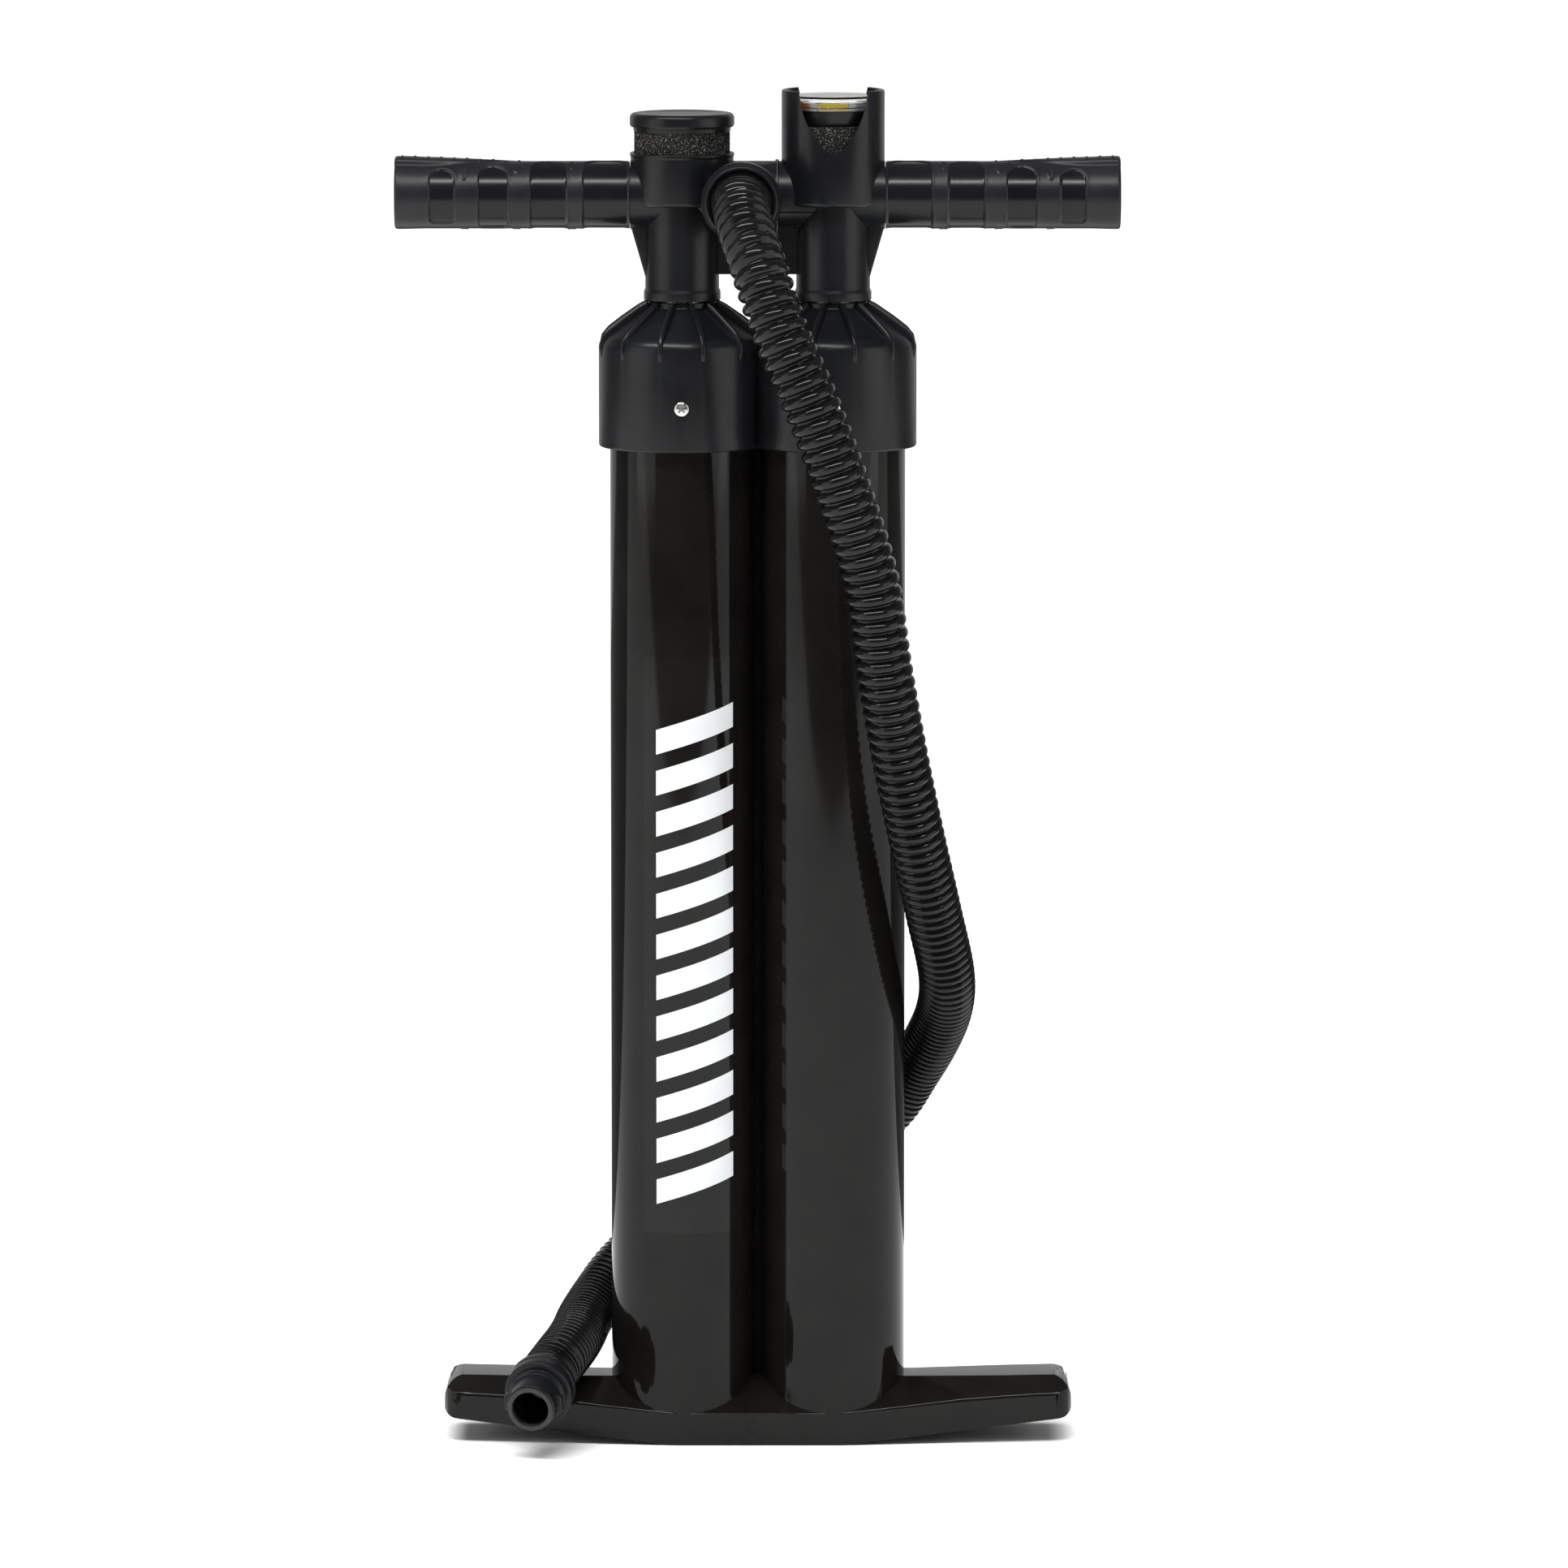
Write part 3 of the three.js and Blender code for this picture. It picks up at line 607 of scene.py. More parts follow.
def lerp_table(table, x):
    for (x0, y0), (x1, y1) in zip(table, table[1:]):
        if x <= x1:
            return y0 + (y1 - y0) * (x - x0) / (x1 - x0)
    return table[-1][1]


def rib_height(phase, depth):
    """The rib's cross-section: a round top with a groove beside it."""
    t = 2 * (phase % 1.0) - 1
    inside = 1 - (t / RIB_SHARE) ** 2
    return depth * (math.sqrt(inside) if inside > 0 else 0.0)


def hose_rings(route):
    """Arc length, rib phase and rib pitch at each ring of the hose."""
    rings, s, phase = [], 0.0, 0.0
    while s < route.length:
        pitch = lerp_table(HOSE_PITCHES, s / route.length)
        rings.append((s, phase, pitch))
        s += pitch / RINGS_PER_RIB
        phase += 1 / RINGS_PER_RIB
    rings.append((route.length, phase, pitch))
    return rings


def make_hose():
    route = Route(catmull_rom([HOSE_START] + HOSE_PATH))
    verts = []
    up = Vector((0, 0, 1))
    rings = hose_rings(route)
    step = 0.4
    for s, phase, pitch in rings:
        here = route.point(s)
        ahead = route.point(min(s + step, route.length))
        behind = route.point(max(s - step, 0))
        along = (ahead - behind).normalized()
        up = (up - along * up.dot(along)).normalized()
        side = along.cross(up)
        depth = min(2.5, 1.2 + 0.22 * pitch)
        r = HOSE_R - depth + rib_height(phase, depth)
        for k in range(HOSE_SIDES):
            angle = 2 * math.pi * k / HOSE_SIDES
            verts.append(here + (up * math.cos(angle) + side * math.sin(angle)) * r)
    faces = tube_faces(len(rings), HOSE_SIDES)
    faces.append(tuple(range(HOSE_SIDES)))
    last = (len(rings) - 1) * HOSE_SIDES
    faces.append(tuple(last + k for k in reversed(range(HOSE_SIDES))))
    hose = mesh_object("ribbed_hose", [tuple(v) for v in verts], faces)
    place(hose, None, MATERIAL["hose"], "hose_tube", 180)
    line = [tuple(mm(*route.point(route.length * i / LINE_STEPS))) for i in range(LINE_STEPS + 1)]
    return hose, line, route.length * MM


# ---------- barrels and foot ----------

FOOT_TIP = 144.2
FOOT_MIDDLE = 40
# Distance from the middle, half depth, nose height, half width of the flat top, top height, nose fillet.
FOOT_SECTIONS = [
    (0, 32.96, 14.8, 10.3, 28.3, 0.7), (37, 32.96, 14.8, 10.3, 28.3, 0.7),
    (71, 30.5, 18.3, 10.5, 28.4, 1.8), (93, 28.6, 20.8, 12.2, 28.8, 2.4),
    (114, 27.2, 22.2, 13.7, 29.2, 2.4), (128, 26.3, 22.9, 13.7, 29.5, 2.4),
    (146, 25.3, 23.4, 13.7, 29.9, 2.4),
]


def foot_section(x, depth, nose, flat, top, fillet):
    half = [(depth, -3), (depth, nose, fillet), (flat, top, 2.4)]
    both = half + [(-y, *rest) for y, *rest in reversed(half)]
    return [(x, y, z) for y, z in rounded(both, 6)]


def foot_loft():
    """The foot before its ends are shaped: the sections above, mirrored and joined."""
    rows = [(-x, *rest) for x, *rest in reversed(FOOT_SECTIONS[1:])] + FOOT_SECTIONS
    verts = []
    for row in rows:
        verts += foot_section(*row)
    count = len(verts) // len(rows)
    faces = tube_faces(len(rows), count)
    faces.append(tuple(reversed(range(count))))
    faces.append(tuple(range(len(verts) - count, len(verts))))
    return mesh_object("twin_barrel_moulding", verts, faces)


def foot_blank():
    """The foot: a roof-shaped bar, narrowed towards rounded tips, with a rising underside."""
    corner = [(40, 36), (71, 30.6), (128, 26.36), (FOOT_TIP, 25.42, 9)]
    half = corner + [(x, -y, *rest) for x, y, *rest in reversed(corner)]
    plan = rounded(half + [(-x, -y, *rest) for x, y, *rest in half], 10)
    blank = boolean(foot_loft(), [prism("plan", plan, -20, 60, "Z")], "INTERSECT")
    front = [(FOOT_MIDDLE, 0, 60), (FOOT_TIP + 0.3, 11.9, 5.5), (FOOT_TIP - 0.8, 29.95, 9.5), (100, 29.0, 60)]
    front = rounded(front + [(-x, z, r) for x, z, r in reversed(front)], 10)
    blank = boolean(blank, [prism("front", front, -60, 60)], "INTERSECT")
    return bevel(weld(blank), 0.8, 38, 3)


def foot_pockets(blank):
    half = [(31, -3), (31, 12.5), (9, 25.4)]
    inner = half + [(-y, z) for y, z in reversed(half)]
    for side in (-1, 1):
        for near, far in ((71, 92), (95, 115), (118, 135)):
            low, high = sorted((side * near, side * far))
            space = prism("pocket", inner, low, high, "X")
            limit = [(side * 30, 31), (side * 140, 22.7), (side * 140, -22.7), (side * 30, -31)]
            space = boolean(space, [prism("limit", limit, -10, 40, "Z")], "INTERSECT")
            blank = cut(blank, space)
        low, high = sorted((side * 12, side * 48))
        blank = cut(blank, prism("pocket", [(-22, -3), (22, -3), (22, 6), (-22, 6)], low, high, "X"))
    return blank


def make_barrels():
    body = foot_pockets(foot_blank())
    notch = [(-4, -3.5), (0, -0.4), (4, -3.5), (4, 3.5), (0, 0.4), (-4, 3.5)]
    web = prism("web", notch, 9, 457.4, "Z")
    # Short faces near the foot, so that its nose doesn't bend the shading of the whole barrel.
    rings = [9, 12, 13.4, 14.2, 15, 16, 18, 20, 23, 26, 29, 32, 60, 160, 320, BARREL_TOP]
    tube = [(0, 9)] + [(BARREL_R, z) for z in rings] + [(0, BARREL_TOP)]
    bore = [(0, 10), (BORE_R, 10), (BORE_R, BARREL_TOP + 2), (0, BARREL_TOP + 2)]
    for side in (-1, 1):
        body = union(body, turned("tube", tube, (side * BARREL_X, 0, 0), sides=192))
    body = union(body, web)
    for side in (-1, 1):
        body = cut(body, turned("bore", bore, (side * BARREL_X, 0, 0), sides=96))
    gate = rounded([(2.4, 32.65), (3.0, 32.65), (3.0, 35), (2.4, 35)])
    body = cut(body, turned("gate", gate, (-2.4, 0, 8.8), "-Y", 40))
    weld(body)
    place(body, "pump_body", MATERIAL["gloss"], "twin_barrel", 22)


# ---------- twin cap ----------

CAP_R = 38.1
CAP_RIBS = 12


def cap_lobe(x):
    outline = rounded([
        (0, 457.5), (CAP_R, 457.5, 1.1), (CAP_R, 506.6, 7.5), (15.6, 521.2, 1.0), (15.6, 523.7, 0.5),
        (0, 523.7)])
    return turned("twin_cap_shell", outline, (x, 0, 0), sides=160)


def cap_rib(x, degrees):
    """One raised rib, which runs down the shoulder and fades into the wall."""
    path = [(15.0, 521.0, 0.6), (16.6, 524.1, 1.6), (20.8, 521.8, 1.6), (28.9, 516.2, 1.6),
            (35.0, 511.5, 1.5), (38.1, 507.8, 1.3), (39.1, 503.6, 0.9), (38.4, 499.4, 0.5)]
    section = [(-1.5, -3.4), (-1.25, -1.0), (-0.95, -0.3), (-0.5, 0.0), (0.5, 0.0), (0.95, -0.3),
               (1.25, -1.0), (1.5, -3.4)]
    verts = []
    for r, z, width in path:
        for w, drop in section:
            inward = drop * 0.62 if r > 37 else drop * 0.5
            verts.append((r + inward, w * (0.6 + width * 0.25), z + drop * 0.9))
    count = len(section)
    faces = tube_faces(len(path), count)
    faces.append(tuple(range(count)))
    faces.append(tuple((len(path) - 1) * count + k for k in reversed(range(count))))
    spin = Matrix.Rotation(math.radians(degrees), 3, "Z")
    moved = [tuple(spin @ Vector(v) + Vector((x, 0, 0))) for v in verts]
    return mesh_object("rib", moved, faces)


def make_cap():
    body = union(cap_lobe(-BARREL_X), cap_lobe(BARREL_X))
    for side in (-1, 1):
        for k in range(CAP_RIBS):
            body = union(body, cap_rib(side * BARREL_X, (k + 0.5) * 360 / CAP_RIBS))
    for side in (-1, 1):
        x = side * BARREL_X
        bore = [(0, 450), (33.3, 450), (33.3, 502.6), (13.8, 502.6), (13.8, 530), (0, 530)]
        body = cut(body, turned("bore", bore, (x, 0, 0), sides=128))
        for front in (-1, 1):
            hole = [(0, 34), (1.8, 34), (1.8, 45), (0, 45)]
            drill = turned("hole", [(r, h * -front) for r, h in hole], (x, 0, SCREW_Z), "-Y", 24)
            body = cut(body, drill)
    weld(body)
    place(body, "pump_body", MATERIAL["satin"], "twin_cap", 34)


def make_cap_screws():
    """Pan heads with a cross recess, one shape for all four."""
    for side in SIDES:
        for face, sign in (("front", 1), ("back", -1)):
            x = SIGN[side] * BARREL_X
            head = rounded([(0, 31.5), (1.5, 31.5), (1.5, 38.2), (3.4, 38.2, 0.25), (3.4, 39.3, 0.9),
                            (0, 40.2)])
            name = f"screw_{face}_{side}"
            screw = turned(name, head, (x, 0, SCREW_Z), "-Y", 40)
            for degrees in (45, 135):
                slot_cut = [(-2.1, -0.5), (2.1, -0.5), (2.1, 0.5), (-2.1, 0.5)]
                spin = Matrix.Rotation(math.radians(degrees), 2)
                turned_slot = [tuple(spin @ Vector(p) + Vector((x, SCREW_Z))) for p in slot_cut]
                screw = cut(screw, prism("slot", turned_slot, -45, -38.6))
            if sign < 0:
                screw.data.transform(Matrix.Rotation(math.pi, 4, "Z"))
                screw.data.transform(Matrix.Translation(mm(2 * x, 0, 0)))
            weld(screw)
            place(screw, "pump_body", MATERIAL["steel"], f"cap_screw_{face}_{side}", 30)


# ---------- handle ----------


def handle_half(side):
    """The stem, bar, web and gusset on one side of the seam."""
    x = side * BARREL_X
    inner = SEAM_X + side * 0.02
    bar = rounded([(0, inner), (15.5, inner), (15.5, side * 57.9), (0, side * 57.9)])
    name = "handle_left_moulding" if side < 0 else "handle_right_moulding"
    body = turned(name, bar, (0, 0, BAR_Z), "X", 128)
    stem = rounded([(0, 524.2), (17.5, 524.2, 0.5), (17.5, 528.0, 0.8), (16.85, 529.6, 0.8),
                    (16.4, 575), (0, 575)])
    core = [(0, side * 55), (13, side * 55), (13, side * 161), (0, side * 161)]
    outer = inner + side * 0.8
    seam = rounded([(10, inner), (16.2, inner, 0.1), (16.2, outer, 0.3), (10, outer)])
    gusset = [(side * 57.8, 558), (side * 50, 531), (side * 38, 531), (side * 38, 568), (side * 57.8, 568)]
    web = [(inner, 536), (side * 26, 536), (side * 26, 566), (inner, 566)]
    body = union(
        body,
        turned("stem", stem, (x, 0, 0), sides=128),
        turned("core", core, (0, 0, BAR_Z), "X", 64),
        turned("seam", seam, (0, 0, BAR_Z), "X", 128),
        bevel(prism("gusset", gusset, -3.5, 3.5), 0.8),
        prism("web", web, -3.5, 3.5),
    )
    return body


def handle_bores(side):
    x = side * BARREL_X
    inner = SEAM_X - side * 2
    stem = [(0, 520), (11.3, 520), (11.3, 551), (7.5, 551), (7.5, 572), (0, 572)]
    bar = [(0, inner), (8, inner), (8, side * 157), (0, side * 157)]
    return [
        turned("bore", stem, (x, 0, 0), sides=64),
        turned("bore", bar, (0, 0, BAR_Z), "X", 48),
    ]


def make_handle_left():
    x = -BARREL_X
    port = rounded([(0, 0), (16, 0), (16, 24.6, 0.8), (14.2, 24.6), (14.2, 36, 0.5), (0, 36)])
    cup = rounded([
        (0, 567.5), (23.45, 567.5, 2.2), (23.45, 589.4, 0.6), (23.75, 590.2, 0.3), (23.75, 591.4, 0.5),
        (22.15, 591.4, 0.3), (22.15, 586.5), (5, 586.5), (5, 605.0, 0.6), (0, 605.0)])
    body = handle_half(-1)
    body = union(
        body,
        turned("port", port, (PORT.x, 0, PORT.z), "-Y", 96),
        turned("cup", cup, (x, 0, 0), sides=160),
    )
    holes = handle_bores(-1)
    holes.append(turned("bore", [(0, 0), (9, 0), (9, 40), (0, 40)], (PORT.x, 0, PORT.z), "-Y", 48))
    for dx in (-12, 12):
        holes.append(turned("hole", [(0, 572), (3, 572), (3, 588), (0, 588)], (x + dx, 0, 0), sides=24))
    body = cut(body, *holes)
    place(weld(body), "handle", MATERIAL["satin"], "handle_left", 32)


def shroud_window(x):
    """The V through the shroud's front and back, drawn as a smooth curve."""
    half = [(20.0, 623), (16.2, 620.6), (15.4, 618.4), (14.7, 614.6), (13.8, 610.4), (12.4, 606.6),
            (10.4, 602.4), (7.7, 598.2), (4.4, 594.2), (2.0, 592.5), (0, 592.1)]
    line = catmull_rom([(a, 0, z) for a, z in half], 6)
    right = [(p.x, p.z) for p in line]
    left = [(-a, z) for a, z in reversed(right[:-1])]
    return prism("window", [(x + a, z) for a, z in right + left], -30, 30)


def make_handle_right():
    x = BARREL_X
    bucket = rounded([
        (0, 567.5), (23.45, 567.5, 2.2), (23.45, 620, 1.0), (21.15, 620, 0.8), (21.15, 588.3),
        (5, 588.3), (5, 604), (0, 604)])
    body = handle_half(1)
    shroud = cut(turned("shroud", bucket, (x, 0, 0), sides=160), shroud_window(x))
    shroud = bevel(weld(shroud), 0.55, 40, 3)
    body = union(body, shroud)
    holes = handle_bores(1)
    holes.append(turned("hole", [(0, 572), (2, 572), (2, 605), (0, 605)], (x, 0, 0), sides=24))
    body = cut(body, *holes)
    place(weld(body), "handle", MATERIAL["satin"], "handle_right", 32)


# ---------- grips ----------

# Windows: near and far ends along the bar, lowest and highest angle from the front.
GRIP_WINDOWS = [
    (58.6, 79.4, -100, 96), (86.5, 103.2, -98, 82), (113.2, 126.8, -78, 62), (137.4, 149.2, -54, 54),
]
# Place along the bar, and angle up from the front.
DROPS = [(84.4, 67), (109.6, 59), (133.2, 44)]
# Angle up from the front, and whether the row is shifted by half a spacing.
DOT_ROWS = [(77, 0), (88, 1), (101, 0), (112, 1)]
GRIP_BORE_R = 13.2
GRIP_SIDES = 260
GRIP_STEP = 0.42
GRIP_END_ROUND = 1.3


def ease(x, low, high):
    t = min(max((x - low) / (high - low), 0), 1)
    return t * t * (3 - 2 * t)


def window_edge(x, angle, window, radius):
    """Signed distance in millimetres from a window's edge, negative inside. The top is an arch."""
    near, far, low, high = window
    half = (far - near) / 2
    px = x - (near + far) / 2
    py = math.radians(angle) * radius
    top = math.radians(high) * radius
    bottom = math.radians(low) * radius
    corner = 3.0
    if py > top - half:
        return math.hypot(px, (py - (top - half)) * 0.97) - half
    qx = abs(px) - half + corner
    qy = abs(py - (top - half + bottom) / 2) - (top - half - bottom) / 2 + corner
    if py > bottom + corner:
        return abs(px) - half
    return math.hypot(max(qx, 0), max(qy, 0)) + min(max(qx, qy), 0) - corner


def drop_height(x, angle, radius):
    """Small teardrop beads between the windows, above and mirrored below."""
    height = 0.0
    for at, turn in DROPS:
        for centre in (turn, -88):
            dx = (x - at) / 1.7
            dy = math.radians(angle - centre) * radius
            dy /= 3.2 if dy > 0 else 3.9
            spread = dx / max(0.25, 1 - 0.35 * abs(dy)) if dy < 0 else dx
            d = math.hypot(spread, dy)
            ring = math.exp(-(((d - 0.82) / 0.16) ** 2))
            height = max(height, 0.42 * ring, 0.2 * (1 - ease(d, 0.6, 0.9)))
    return height


def pad_height(x, angle):
    """The thumb pad on the outer top, with its rows of dots."""
    edge = 90 - 25 * ease(x, 102, 150)
    above = 90 - abs(angle - 90) if angle > -90 else -100
    rise = 2.1 * ease(x, 96, 160)
    height = rise * ease(above, edge - 3.5, edge + 5)
    for row, (turn, offset) in enumerate(DOT_ROWS):
        for k in range(5):
            at = 161.5 - 11.8 * k - 5.9 * offset
            d = math.hypot(x - at, math.radians(angle - turn) * 17.5)
            height += 0.42 * (1 - ease(d, 0.35, 0.85))
    return height


def grip_radius(x, angle):
    """Outer radius and whether the point shows the glossy core."""
    base = 15.45 - 0.1 * ease(x, 60, 110) + 0.25 * ease(x, 150, 163)
    inside = 0.0
    lip = 0.0
    for window in GRIP_WINDOWS:
        d = window_edge(x, angle, window, base)
        inside = max(inside, 1 - ease(d, -0.55, 0.05))
        lip = max(lip, math.exp(-(((d - 0.45) / 0.5) ** 2)))
    height = base - 0.62 * inside + 0.16 * lip * (1 - inside)
    if inside < 0.5:
        height += drop_height(x, angle, base) + pad_height(x, angle)
    return height, inside > 0.5


def grip_stations():
    """The grip's rings: place along the bar, how far drawn in, and a fixed radius for the first."""
    length = GRIP_END - GRIP_START
    count = int(length / GRIP_STEP)
    stations = [(GRIP_START, 0.0, GRIP_BORE_R), (GRIP_START, 0.0, None)]
    stations += [(GRIP_START + length * i / count, 0.0, None) for i in range(1, count - 3)]
    for k in range(1, 7):
        angle = math.pi / 2 * k / 6
        x = GRIP_END - GRIP_END_ROUND + GRIP_END_ROUND * math.sin(angle)
        stations.append((x, GRIP_END_ROUND * (1 - math.cos(angle)), None))
    return stations


def grip_ring(sign, x, inset, fixed):
    """One ring's points, each with whether it shows the glossy core."""
    ring = []
    for k in range(GRIP_SIDES):
        angle = -180 + 360 * k / GRIP_SIDES
        r, glossy = (fixed, False) if fixed else grip_radius(x, angle)
        if fixed is None and x < GRIP_START + 0.5:
            r -= 0.25
        r -= inset
        a = math.radians(angle)
        ring.append(((sign * x, -r * math.cos(a), BAR_Z + r * math.sin(a)), glossy))
    return ring


def make_grip(side):
    sign = SIGN[side]
    stations = grip_stations()
    points = [point for station in stations for point in grip_ring(sign, *station)]
    faces = tube_faces(len(stations), GRIP_SIDES)
    last = (len(stations) - 1) * GRIP_SIDES
    end_centre = len(points)
    points.append(((sign * GRIP_END, 0, BAR_Z), False))
    for k in range(GRIP_SIDES):
        faces.append((last + k, last + (k + 1) % GRIP_SIDES, end_centre))
    inner = len(points)
    for k in range(GRIP_SIDES):
        a = math.radians(-180 + 360 * k / GRIP_SIDES)
        y, z = -GRIP_BORE_R * math.cos(a), BAR_Z + GRIP_BORE_R * math.sin(a)
        points.append(((sign * (GRIP_END - 3.7), y, z), False))
    for k in range(GRIP_SIDES):
        k2 = (k + 1) % GRIP_SIDES
        faces.append((k, k2, inner + k2, inner + k))
    faces.append(tuple(inner + k for k in range(GRIP_SIDES)))
    grip = mesh_object(f"soft_grip_{side}", [at for at, _ in points], faces)
    grip.data.materials.append(MATERIAL["grip"])
    grip.data.materials.append(MATERIAL["core"])
    for polygon in grip.data.polygons:
        if len(polygon.vertices) == 4 and all(points[v][1] for v in polygon.vertices):
            polygon.material_index = 1
    place(grip, "handle", [MATERIAL["grip"], MATERIAL["core"]], f"grip_{side}", 45)


# ---------- filter, gauge and nut ----------


def make_foam(name, node, inner, outer, low, high):
    """A ring of open-cell foam with a torn, uneven skin."""
    rng = random.Random(7)
    levels = int((high - low) / 0.45)
    sides = 300
    outline = [(inner, low)]
    outline += [(outer, low + (high - low) * i / levels) for i in range(levels + 1)]
    outline += [(inner, high)]
    bumps = [[rng.uniform(-0.32, 0.12) for _ in range(sides)] for _ in outline]

    def ripple(index, k, height):
        return bumps[index][k] if 0 < index < len(outline) - 1 else 0.0

    centre = centre_of(node)
    foam = turned(name, outline, (centre.x, 0, 0), sides=sides, ripple=ripple)
    place(foam, "handle", MATERIAL["foam"], node, 80)


def make_filter_cap():
    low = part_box("filter_cap")[0].z / MM
    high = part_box("filter_cap")[1].z / MM
    outline = rounded([
        (5.3, low - 1.6), (22.0, low - 1.6, 0.4), (22.2, low + 0.6, 0.2), (23.3, low + 0.7, 0.3),
        (23.8, low + 1.6, 0.3), (23.8, high, 2.2), (19.5, high, 1.2), (16.5, high - 0.5, 6),
        (0, high - 0.7), (0, low + 3.0), (5.3, low + 3.0)])
    cap = turned("filter_lid_disc", outline, (-BARREL_X, 0, 0), sides=160)
    place(cap, "filter_lid", MATERIAL["satin"], "filter_cap", 40)


def make_gauge():
    x = BARREL_X
    housing = rounded([
        (0, 604.3), (18, 604.3, 0.4), (19.2, 610.1, 0.5), (19.5, 611.0, 0.2), (16.6, 611.0, 0.2),
        (16.6, 607.8), (0, 607.8)])
    place(turned("gauge_cup", housing, (x, 0, 0), sides=128), "handle", MATERIAL["satin"],
          "gauge_housing", 35)
    dial = turned("gauge_dial_plate", rounded([(0, 608.1), (16.4, 608.1), (16.4, 614.5, 0.2), (0, 614.5)]),
                  (x, 0, 0), sides=96)
    place(dial, "handle", MATERIAL["dial"], "gauge_dial", 35)
    make_dial_marks(x)
    lens = rounded([
        (0, 615.6), (17.9, 615.6, 0.8), (18.1, 611.4, 0.2), (20.5, 611.4, 0.4), (20.5, 612.4, 0.2),
        (19.9, 612.9, 0.2), (20.1, 616.6, 0.3), (19.3, 617.5, 0.5), (0, 617.5)])
    place(turned("gauge_window", lens, (x, 0, 0), sides=128), "handle", MATERIAL["lens"],
          "gauge_lens", 35)
    boss = rounded([(0, 614.75), (1.8, 614.75), (1.8, 615.4, 0.2), (0, 615.4)])
    hub = turned("gauge_pointer", boss, (x, 0, 0), sides=32)
    blade = [(-0.6, -3), (0.6, -3), (0.25, 12), (-0.25, 12)]
    spin = Matrix.Rotation(math.radians(135), 2)
    blade = [tuple(spin @ Vector(p) + Vector((x, 0))) for p in blade]
    pointer = union(hub, prism("blade", blade, 614.75, 615.2, "Z"))
    place(pointer, "needle", MATERIAL["ink"], "gauge_needle", 35)


MARK_LOW = 614.4
MARK_TOP = 614.7
BAND_LOW = 611.8


def dial_arc(name, x, inner, outer, start, end, material, low=MARK_LOW):
    """A flat arc on the dial, from low up to just over the dial's face."""
    steps = 24
    verts, faces = [], []
    for k in range(steps + 1):
        a = math.radians(start + (end - start) * k / steps)
        for z in (low, MARK_TOP):
            for r in (inner, outer):
                verts.append((x + r * math.cos(a), r * math.sin(a), z))
    for k in range(steps):
        a, b = 4 * k, 4 * k + 4
        faces += [(a, a + 1, b + 1, b), (a + 2, b + 2, b + 3, a + 3)]
        faces += [(a, b, b + 2, a + 2), (a + 1, a + 3, b + 3, b + 1)]
    faces += [(0, 2, 3, 1), (4 * steps, 4 * steps + 1, 4 * steps + 3, 4 * steps + 2)]
    arc = mesh_object(name, verts, faces)
    place(arc, "handle", material, (), 35)


def make_dial_marks(x):
    dial_arc("dial_band_front", x, 7.5, 16.7, -112, -68, MATERIAL["yellow"], BAND_LOW)
    dial_arc("dial_band_right", x, 9, 16.7, -30, 40, MATERIAL["yellow"], BAND_LOW)
    dial_arc("dial_band_left", x, 10.5, 16.7, 150, 228, MATERIAL["orange"], BAND_LOW)
    for k in range(21):
        degrees = -225 + 270 * k / 20
        inner = 12.4 if k % 5 else 11.2
        dial_arc(f"dial_tick_{k}", x, inner, 15.6, degrees - 0.8, degrees + 0.8, MATERIAL["ink"])


def make_nut():
    back = -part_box("hose_nut")[1].y / MM
    front = -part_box("hose_nut")[0].y / MM
    outline = rounded([
        (14.6, back), (17.2, back, 0.4), (18.0, back + 1.2, 0.3), (18.0, back + 6.5, 0.2),
        (17.3, back + 7.2, 0.3), (18.2, back + 8.2, 0.4), (18.2, back + 9.6, 0.5),
        (16.4, front - 0.3, 0.6), (15.4, front, 0.4), (14.3, front - 1.2, 0.4), (13.6, front - 3.4),
        (9.5, front - 3.4), (9.5, front - 4.6), (14.6, front - 4.6)])
    low, high = back + 1.0, back + 6.8

    def knurl(index, k, height):
        radius = outline[index][0]
        return 0.3 * math.cos(k * math.pi / 2) if radius > 17.5 and low < height < high else 0.0

    nut = turned("hose_ring_nut", outline, (PORT.x, 0, PORT.z), "-Y", 400, knurl)
    place(nut, "nut", MATERIAL["satin"], "hose_nut", 40)


# ---------- film, cuff and nozzle ----------

# Degrees away from straight ahead: the nozzle points to the left and down.
NOZZLE_TURN = -11
NOZZLE_TILT = 13

# Lowest and highest angle round the barrel, then the heights of its lower and upper edge.
FILM = (-32, 54, 98.6, 363.7)


def film_patch(name, low, high, bottom, top, inner, outer, slant=0.0):
    """A thin patch that follows the left barrel's front, between two angles and two heights."""
    across, up = max(4, int((high - low) / 1.5)), 2
    verts, faces = [], []
    for r in (inner, outer):
        for j in range(up + 1):
            for i in range(across + 1):
                share = i / across
                a = math.radians(low + (high - low) * share)
                z = bottom + (top - bottom) * j / up + slant * share
                verts.append((-BARREL_X + r * math.sin(a), -r * math.cos(a), z))
    row = across + 1
    layer = row * (up + 1)
    for j in range(up):
        for i in range(across):
            a = j * row + i
            faces.append((a, a + 1, a + 1 + row, a + row))
            faces.append((layer + a, layer + a + row, layer + a + 1 + row, layer + a + 1))
    rim = [i for i in range(row)] + [across + j * row for j in range(1, up + 1)]
    rim += [up * row + i for i in range(across - 1, -1, -1)] + [j * row for j in range(up - 1, 0, -1)]
    for a, b in zip(rim, rim[1:] + rim[:1]):
        faces.append((a, b, layer + b, layer + a))
    return mesh_object(name, verts, faces)


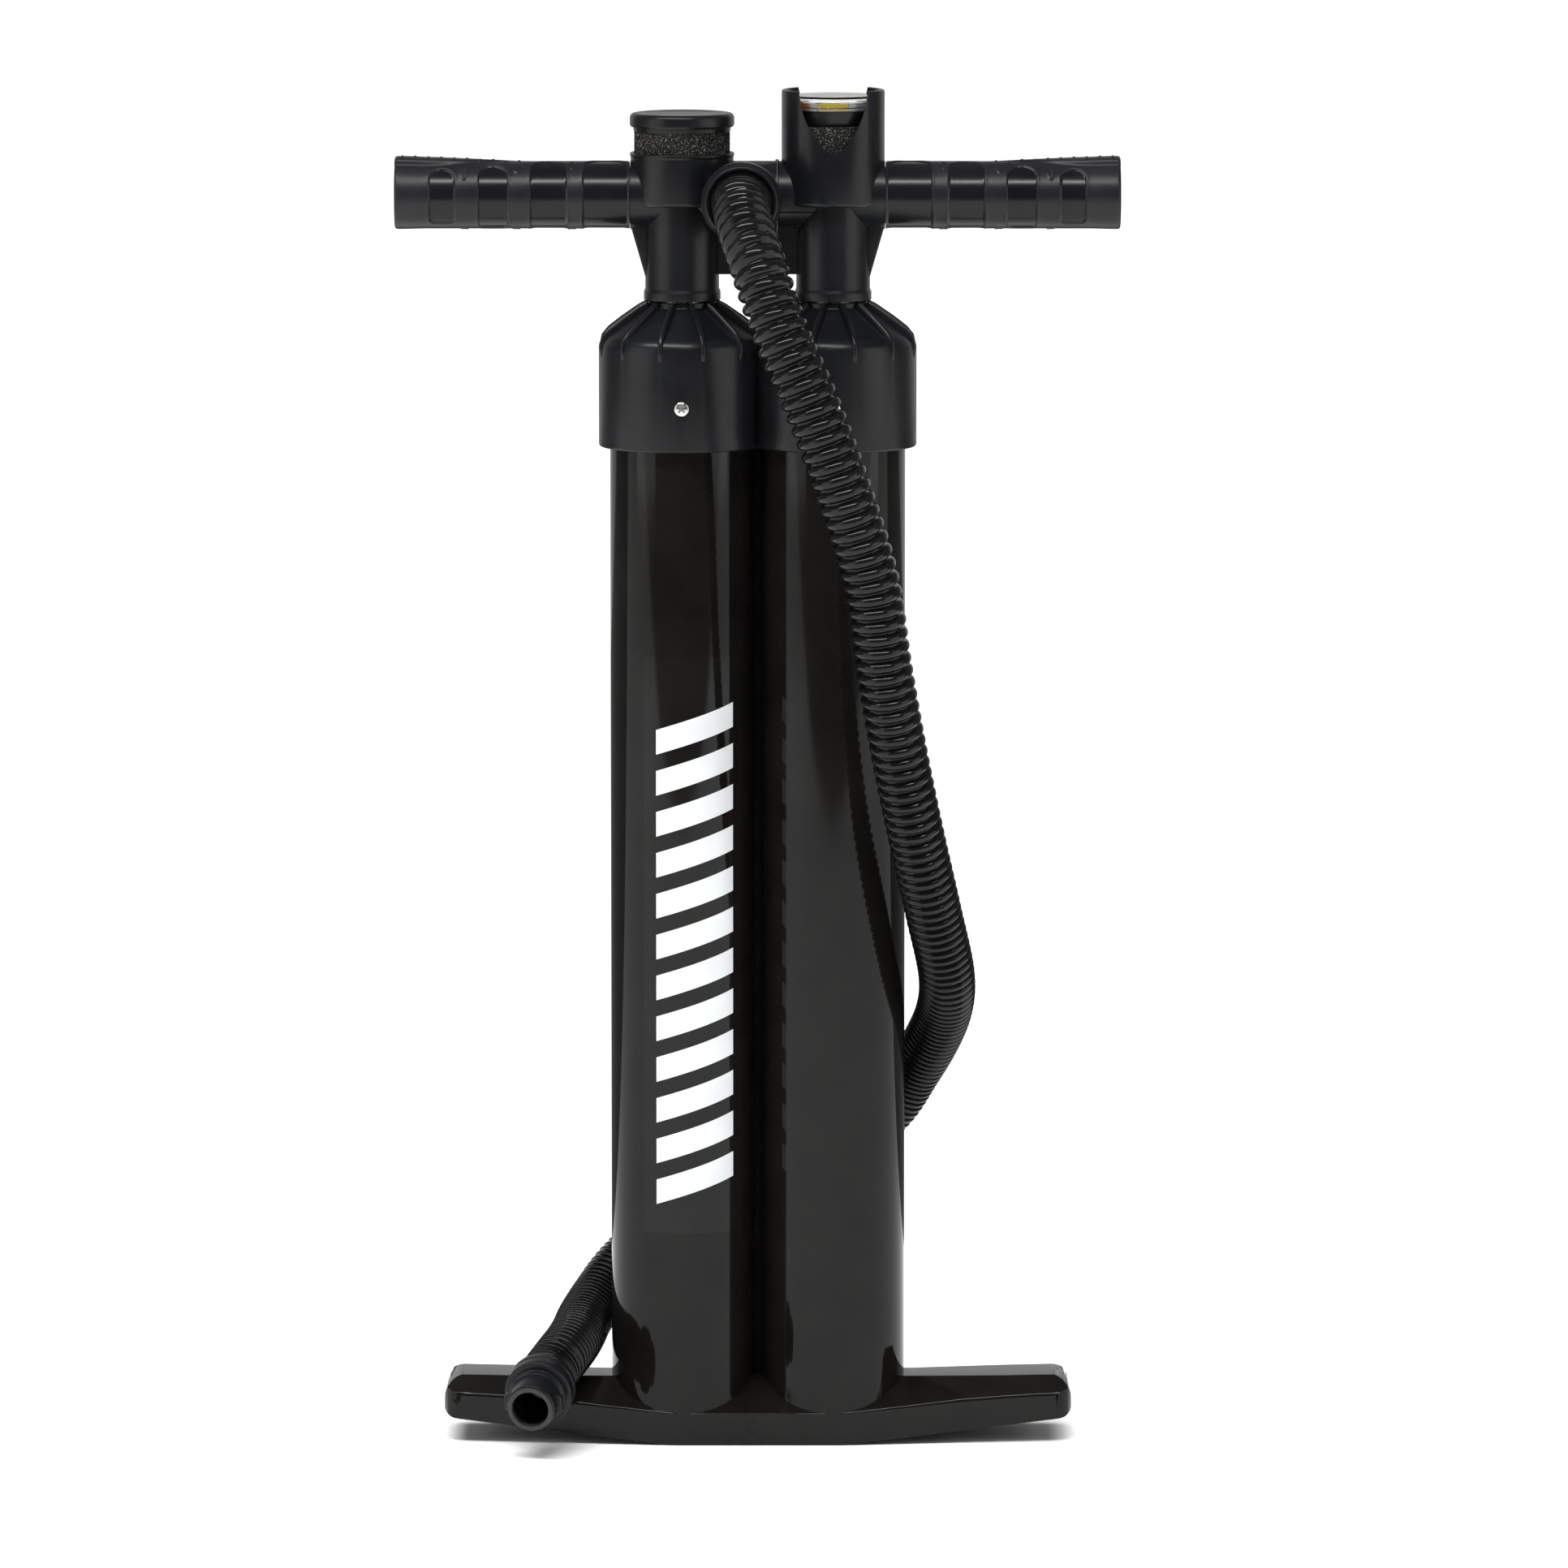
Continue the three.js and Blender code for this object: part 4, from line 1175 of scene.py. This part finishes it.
def make_label():
    film = film_patch("label_film", *FILM, 33.03, 33.12)
    place(film, "pump_body", MATERIAL["film"], "front_label", 40)
    bottom, top = 112.0, 352.0
    bars, gap = 12, 7.5
    height = (top - bottom - 14) / bars - gap
    for k in range(bars):
        low = bottom + k * (height + gap)
        bar = film_patch(f"label_bar_{k + 1}", -21, 44, low, low + height, 33.12, 33.2, 12.0)
        place(bar, "pump_body", MATERIAL["print"], (), 40)


def on_nozzle_axis(obj):
    """Moves a shape turned about -Y at the origin to the end of the hose."""
    end = Vector(HOSE_PATH[-1])
    turn = Matrix.Rotation(math.radians(NOZZLE_TURN), 4, "Z")
    tilt = Matrix.Rotation(math.radians(NOZZLE_TILT), 4, "X")
    obj.data.transform(Matrix.Translation(end * MM) @ (turn @ tilt))
    return obj


def make_cuff_and_nozzle():
    cuff = rounded([
        (8.2, 0.3), (13.4, 0.3, 0.5), (13.8, 2.4, 0.4), (15.5, 2.9, 0.5), (15.5, 6.2, 0.3),
        (14.9, 6.7, 0.2), (14.9, 7.6, 0.2), (15.5, 8.1, 0.3), (15.5, 14, 0.9), (8.2, 14)])
    ring = on_nozzle_axis(turned("hose_end_cuff", cuff, axis="-Y", sides=128))
    place(ring, "pump_body", MATERIAL["satin"], "hose_cuff", 35)
    body = rounded([
        (8.2, 14.3), (13, 14.3), (13, 16.2, 0.5), (11.4, 17.2, 0.6), (11, 30, 0.9), (8.2, 30, 0.6)])
    nozzle = turned("valve_nozzle", body, axis="-Y", sides=96)
    for turn in (0, 180):
        lug = rounded([(9, -4.2), (13.4, -3.6, 0.9), (13.4, 3.6, 0.9), (9, 4.2)])
        spin = Matrix.Rotation(math.radians(turn), 2)
        lug = [tuple(spin @ Vector(p)) for p in lug]
        nozzle = union(nozzle, bevel(prism("lug", lug, -24.5, -21), 0.4))
    weld(nozzle)
    place(on_nozzle_axis(nozzle), "nozzle_head", MATERIAL["satin"], "nozzle", 35)
    seal = rounded([(8.4, 30.3), (10.4, 30.3, 0.3), (10.4, 31.8, 0.5), (8.4, 31.8, 0.4)])
    gasket = on_nozzle_axis(turned("nozzle_face_seal", seal, axis="-Y", sides=96))
    place(gasket, "nozzle_head", MATERIAL["rubber"], "nozzle_gasket", 50)
    return ring, bpy.data.objects["valve_nozzle"], gasket


# ---------- rods and the pieces under the cap ----------


def make_rods():
    for side in SIDES:
        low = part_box(f"rod_{side}")[0].z / MM
        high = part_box(f"rod_{side}")[1].z / MM
        outline = rounded([(8.5, low, 0.4), (11, low, 0.4), (11, high, 0.4), (8.5, high, 0.4)])
        rod = turned(f"piston_rod_{side}", outline, (SIGN[side] * BARREL_X, 0, 0), sides=96)
        place(rod, "handle", MATERIAL["rod"], f"rod_{side}", 40)


INNER = {
    "satin": ["rod_bush"],
    "nylon": ["seal_retainer", "piston", "valve_keeper"],
    "rubber": ["rod_seal", "barrel_gasket", "piston_seal", "inlet_disc", "outlet_disc"],
}


def finish_inner_nodes():
    """The CAD pieces that aren't redrawn keep their shape and take a material."""
    for key, names in INNER.items():
        for name in names:
            for side in SIDES:
                paint_node(f"{name}_{side}", MATERIAL[key])
    paint_node("joint_sleeve", MATERIAL["satin"])


def paint_node(node, material):
    data = bpy.data.objects[node].data
    if not data.materials:
        data.materials.append(material)
    for i in range(len(data.materials)):
        data.materials[i] = material


# ---------- the scene ----------

bpy.context.scene.view_settings.view_transform = "Standard"
add_camera()
add_lights()
add_world()
add_stage()
hose, hose_line, hose_length = make_hose()
make_barrels()
make_cap()
make_cap_screws()
make_handle_left()
make_handle_right()
for side in SIDES:
    make_grip(side)
make_foam("filter_foam_ring", "filter_foam", 5.3, 21.75, 586.8, 602.2)
make_foam("gauge_foam_ring", "gauge_foam", 5.3, 20.7, 588.6, 604.0)
make_filter_cap()
make_gauge()
make_nut()
make_label()
end_pieces = make_cuff_and_nozzle()
make_rods()
finish_inner_nodes()

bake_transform(hose)
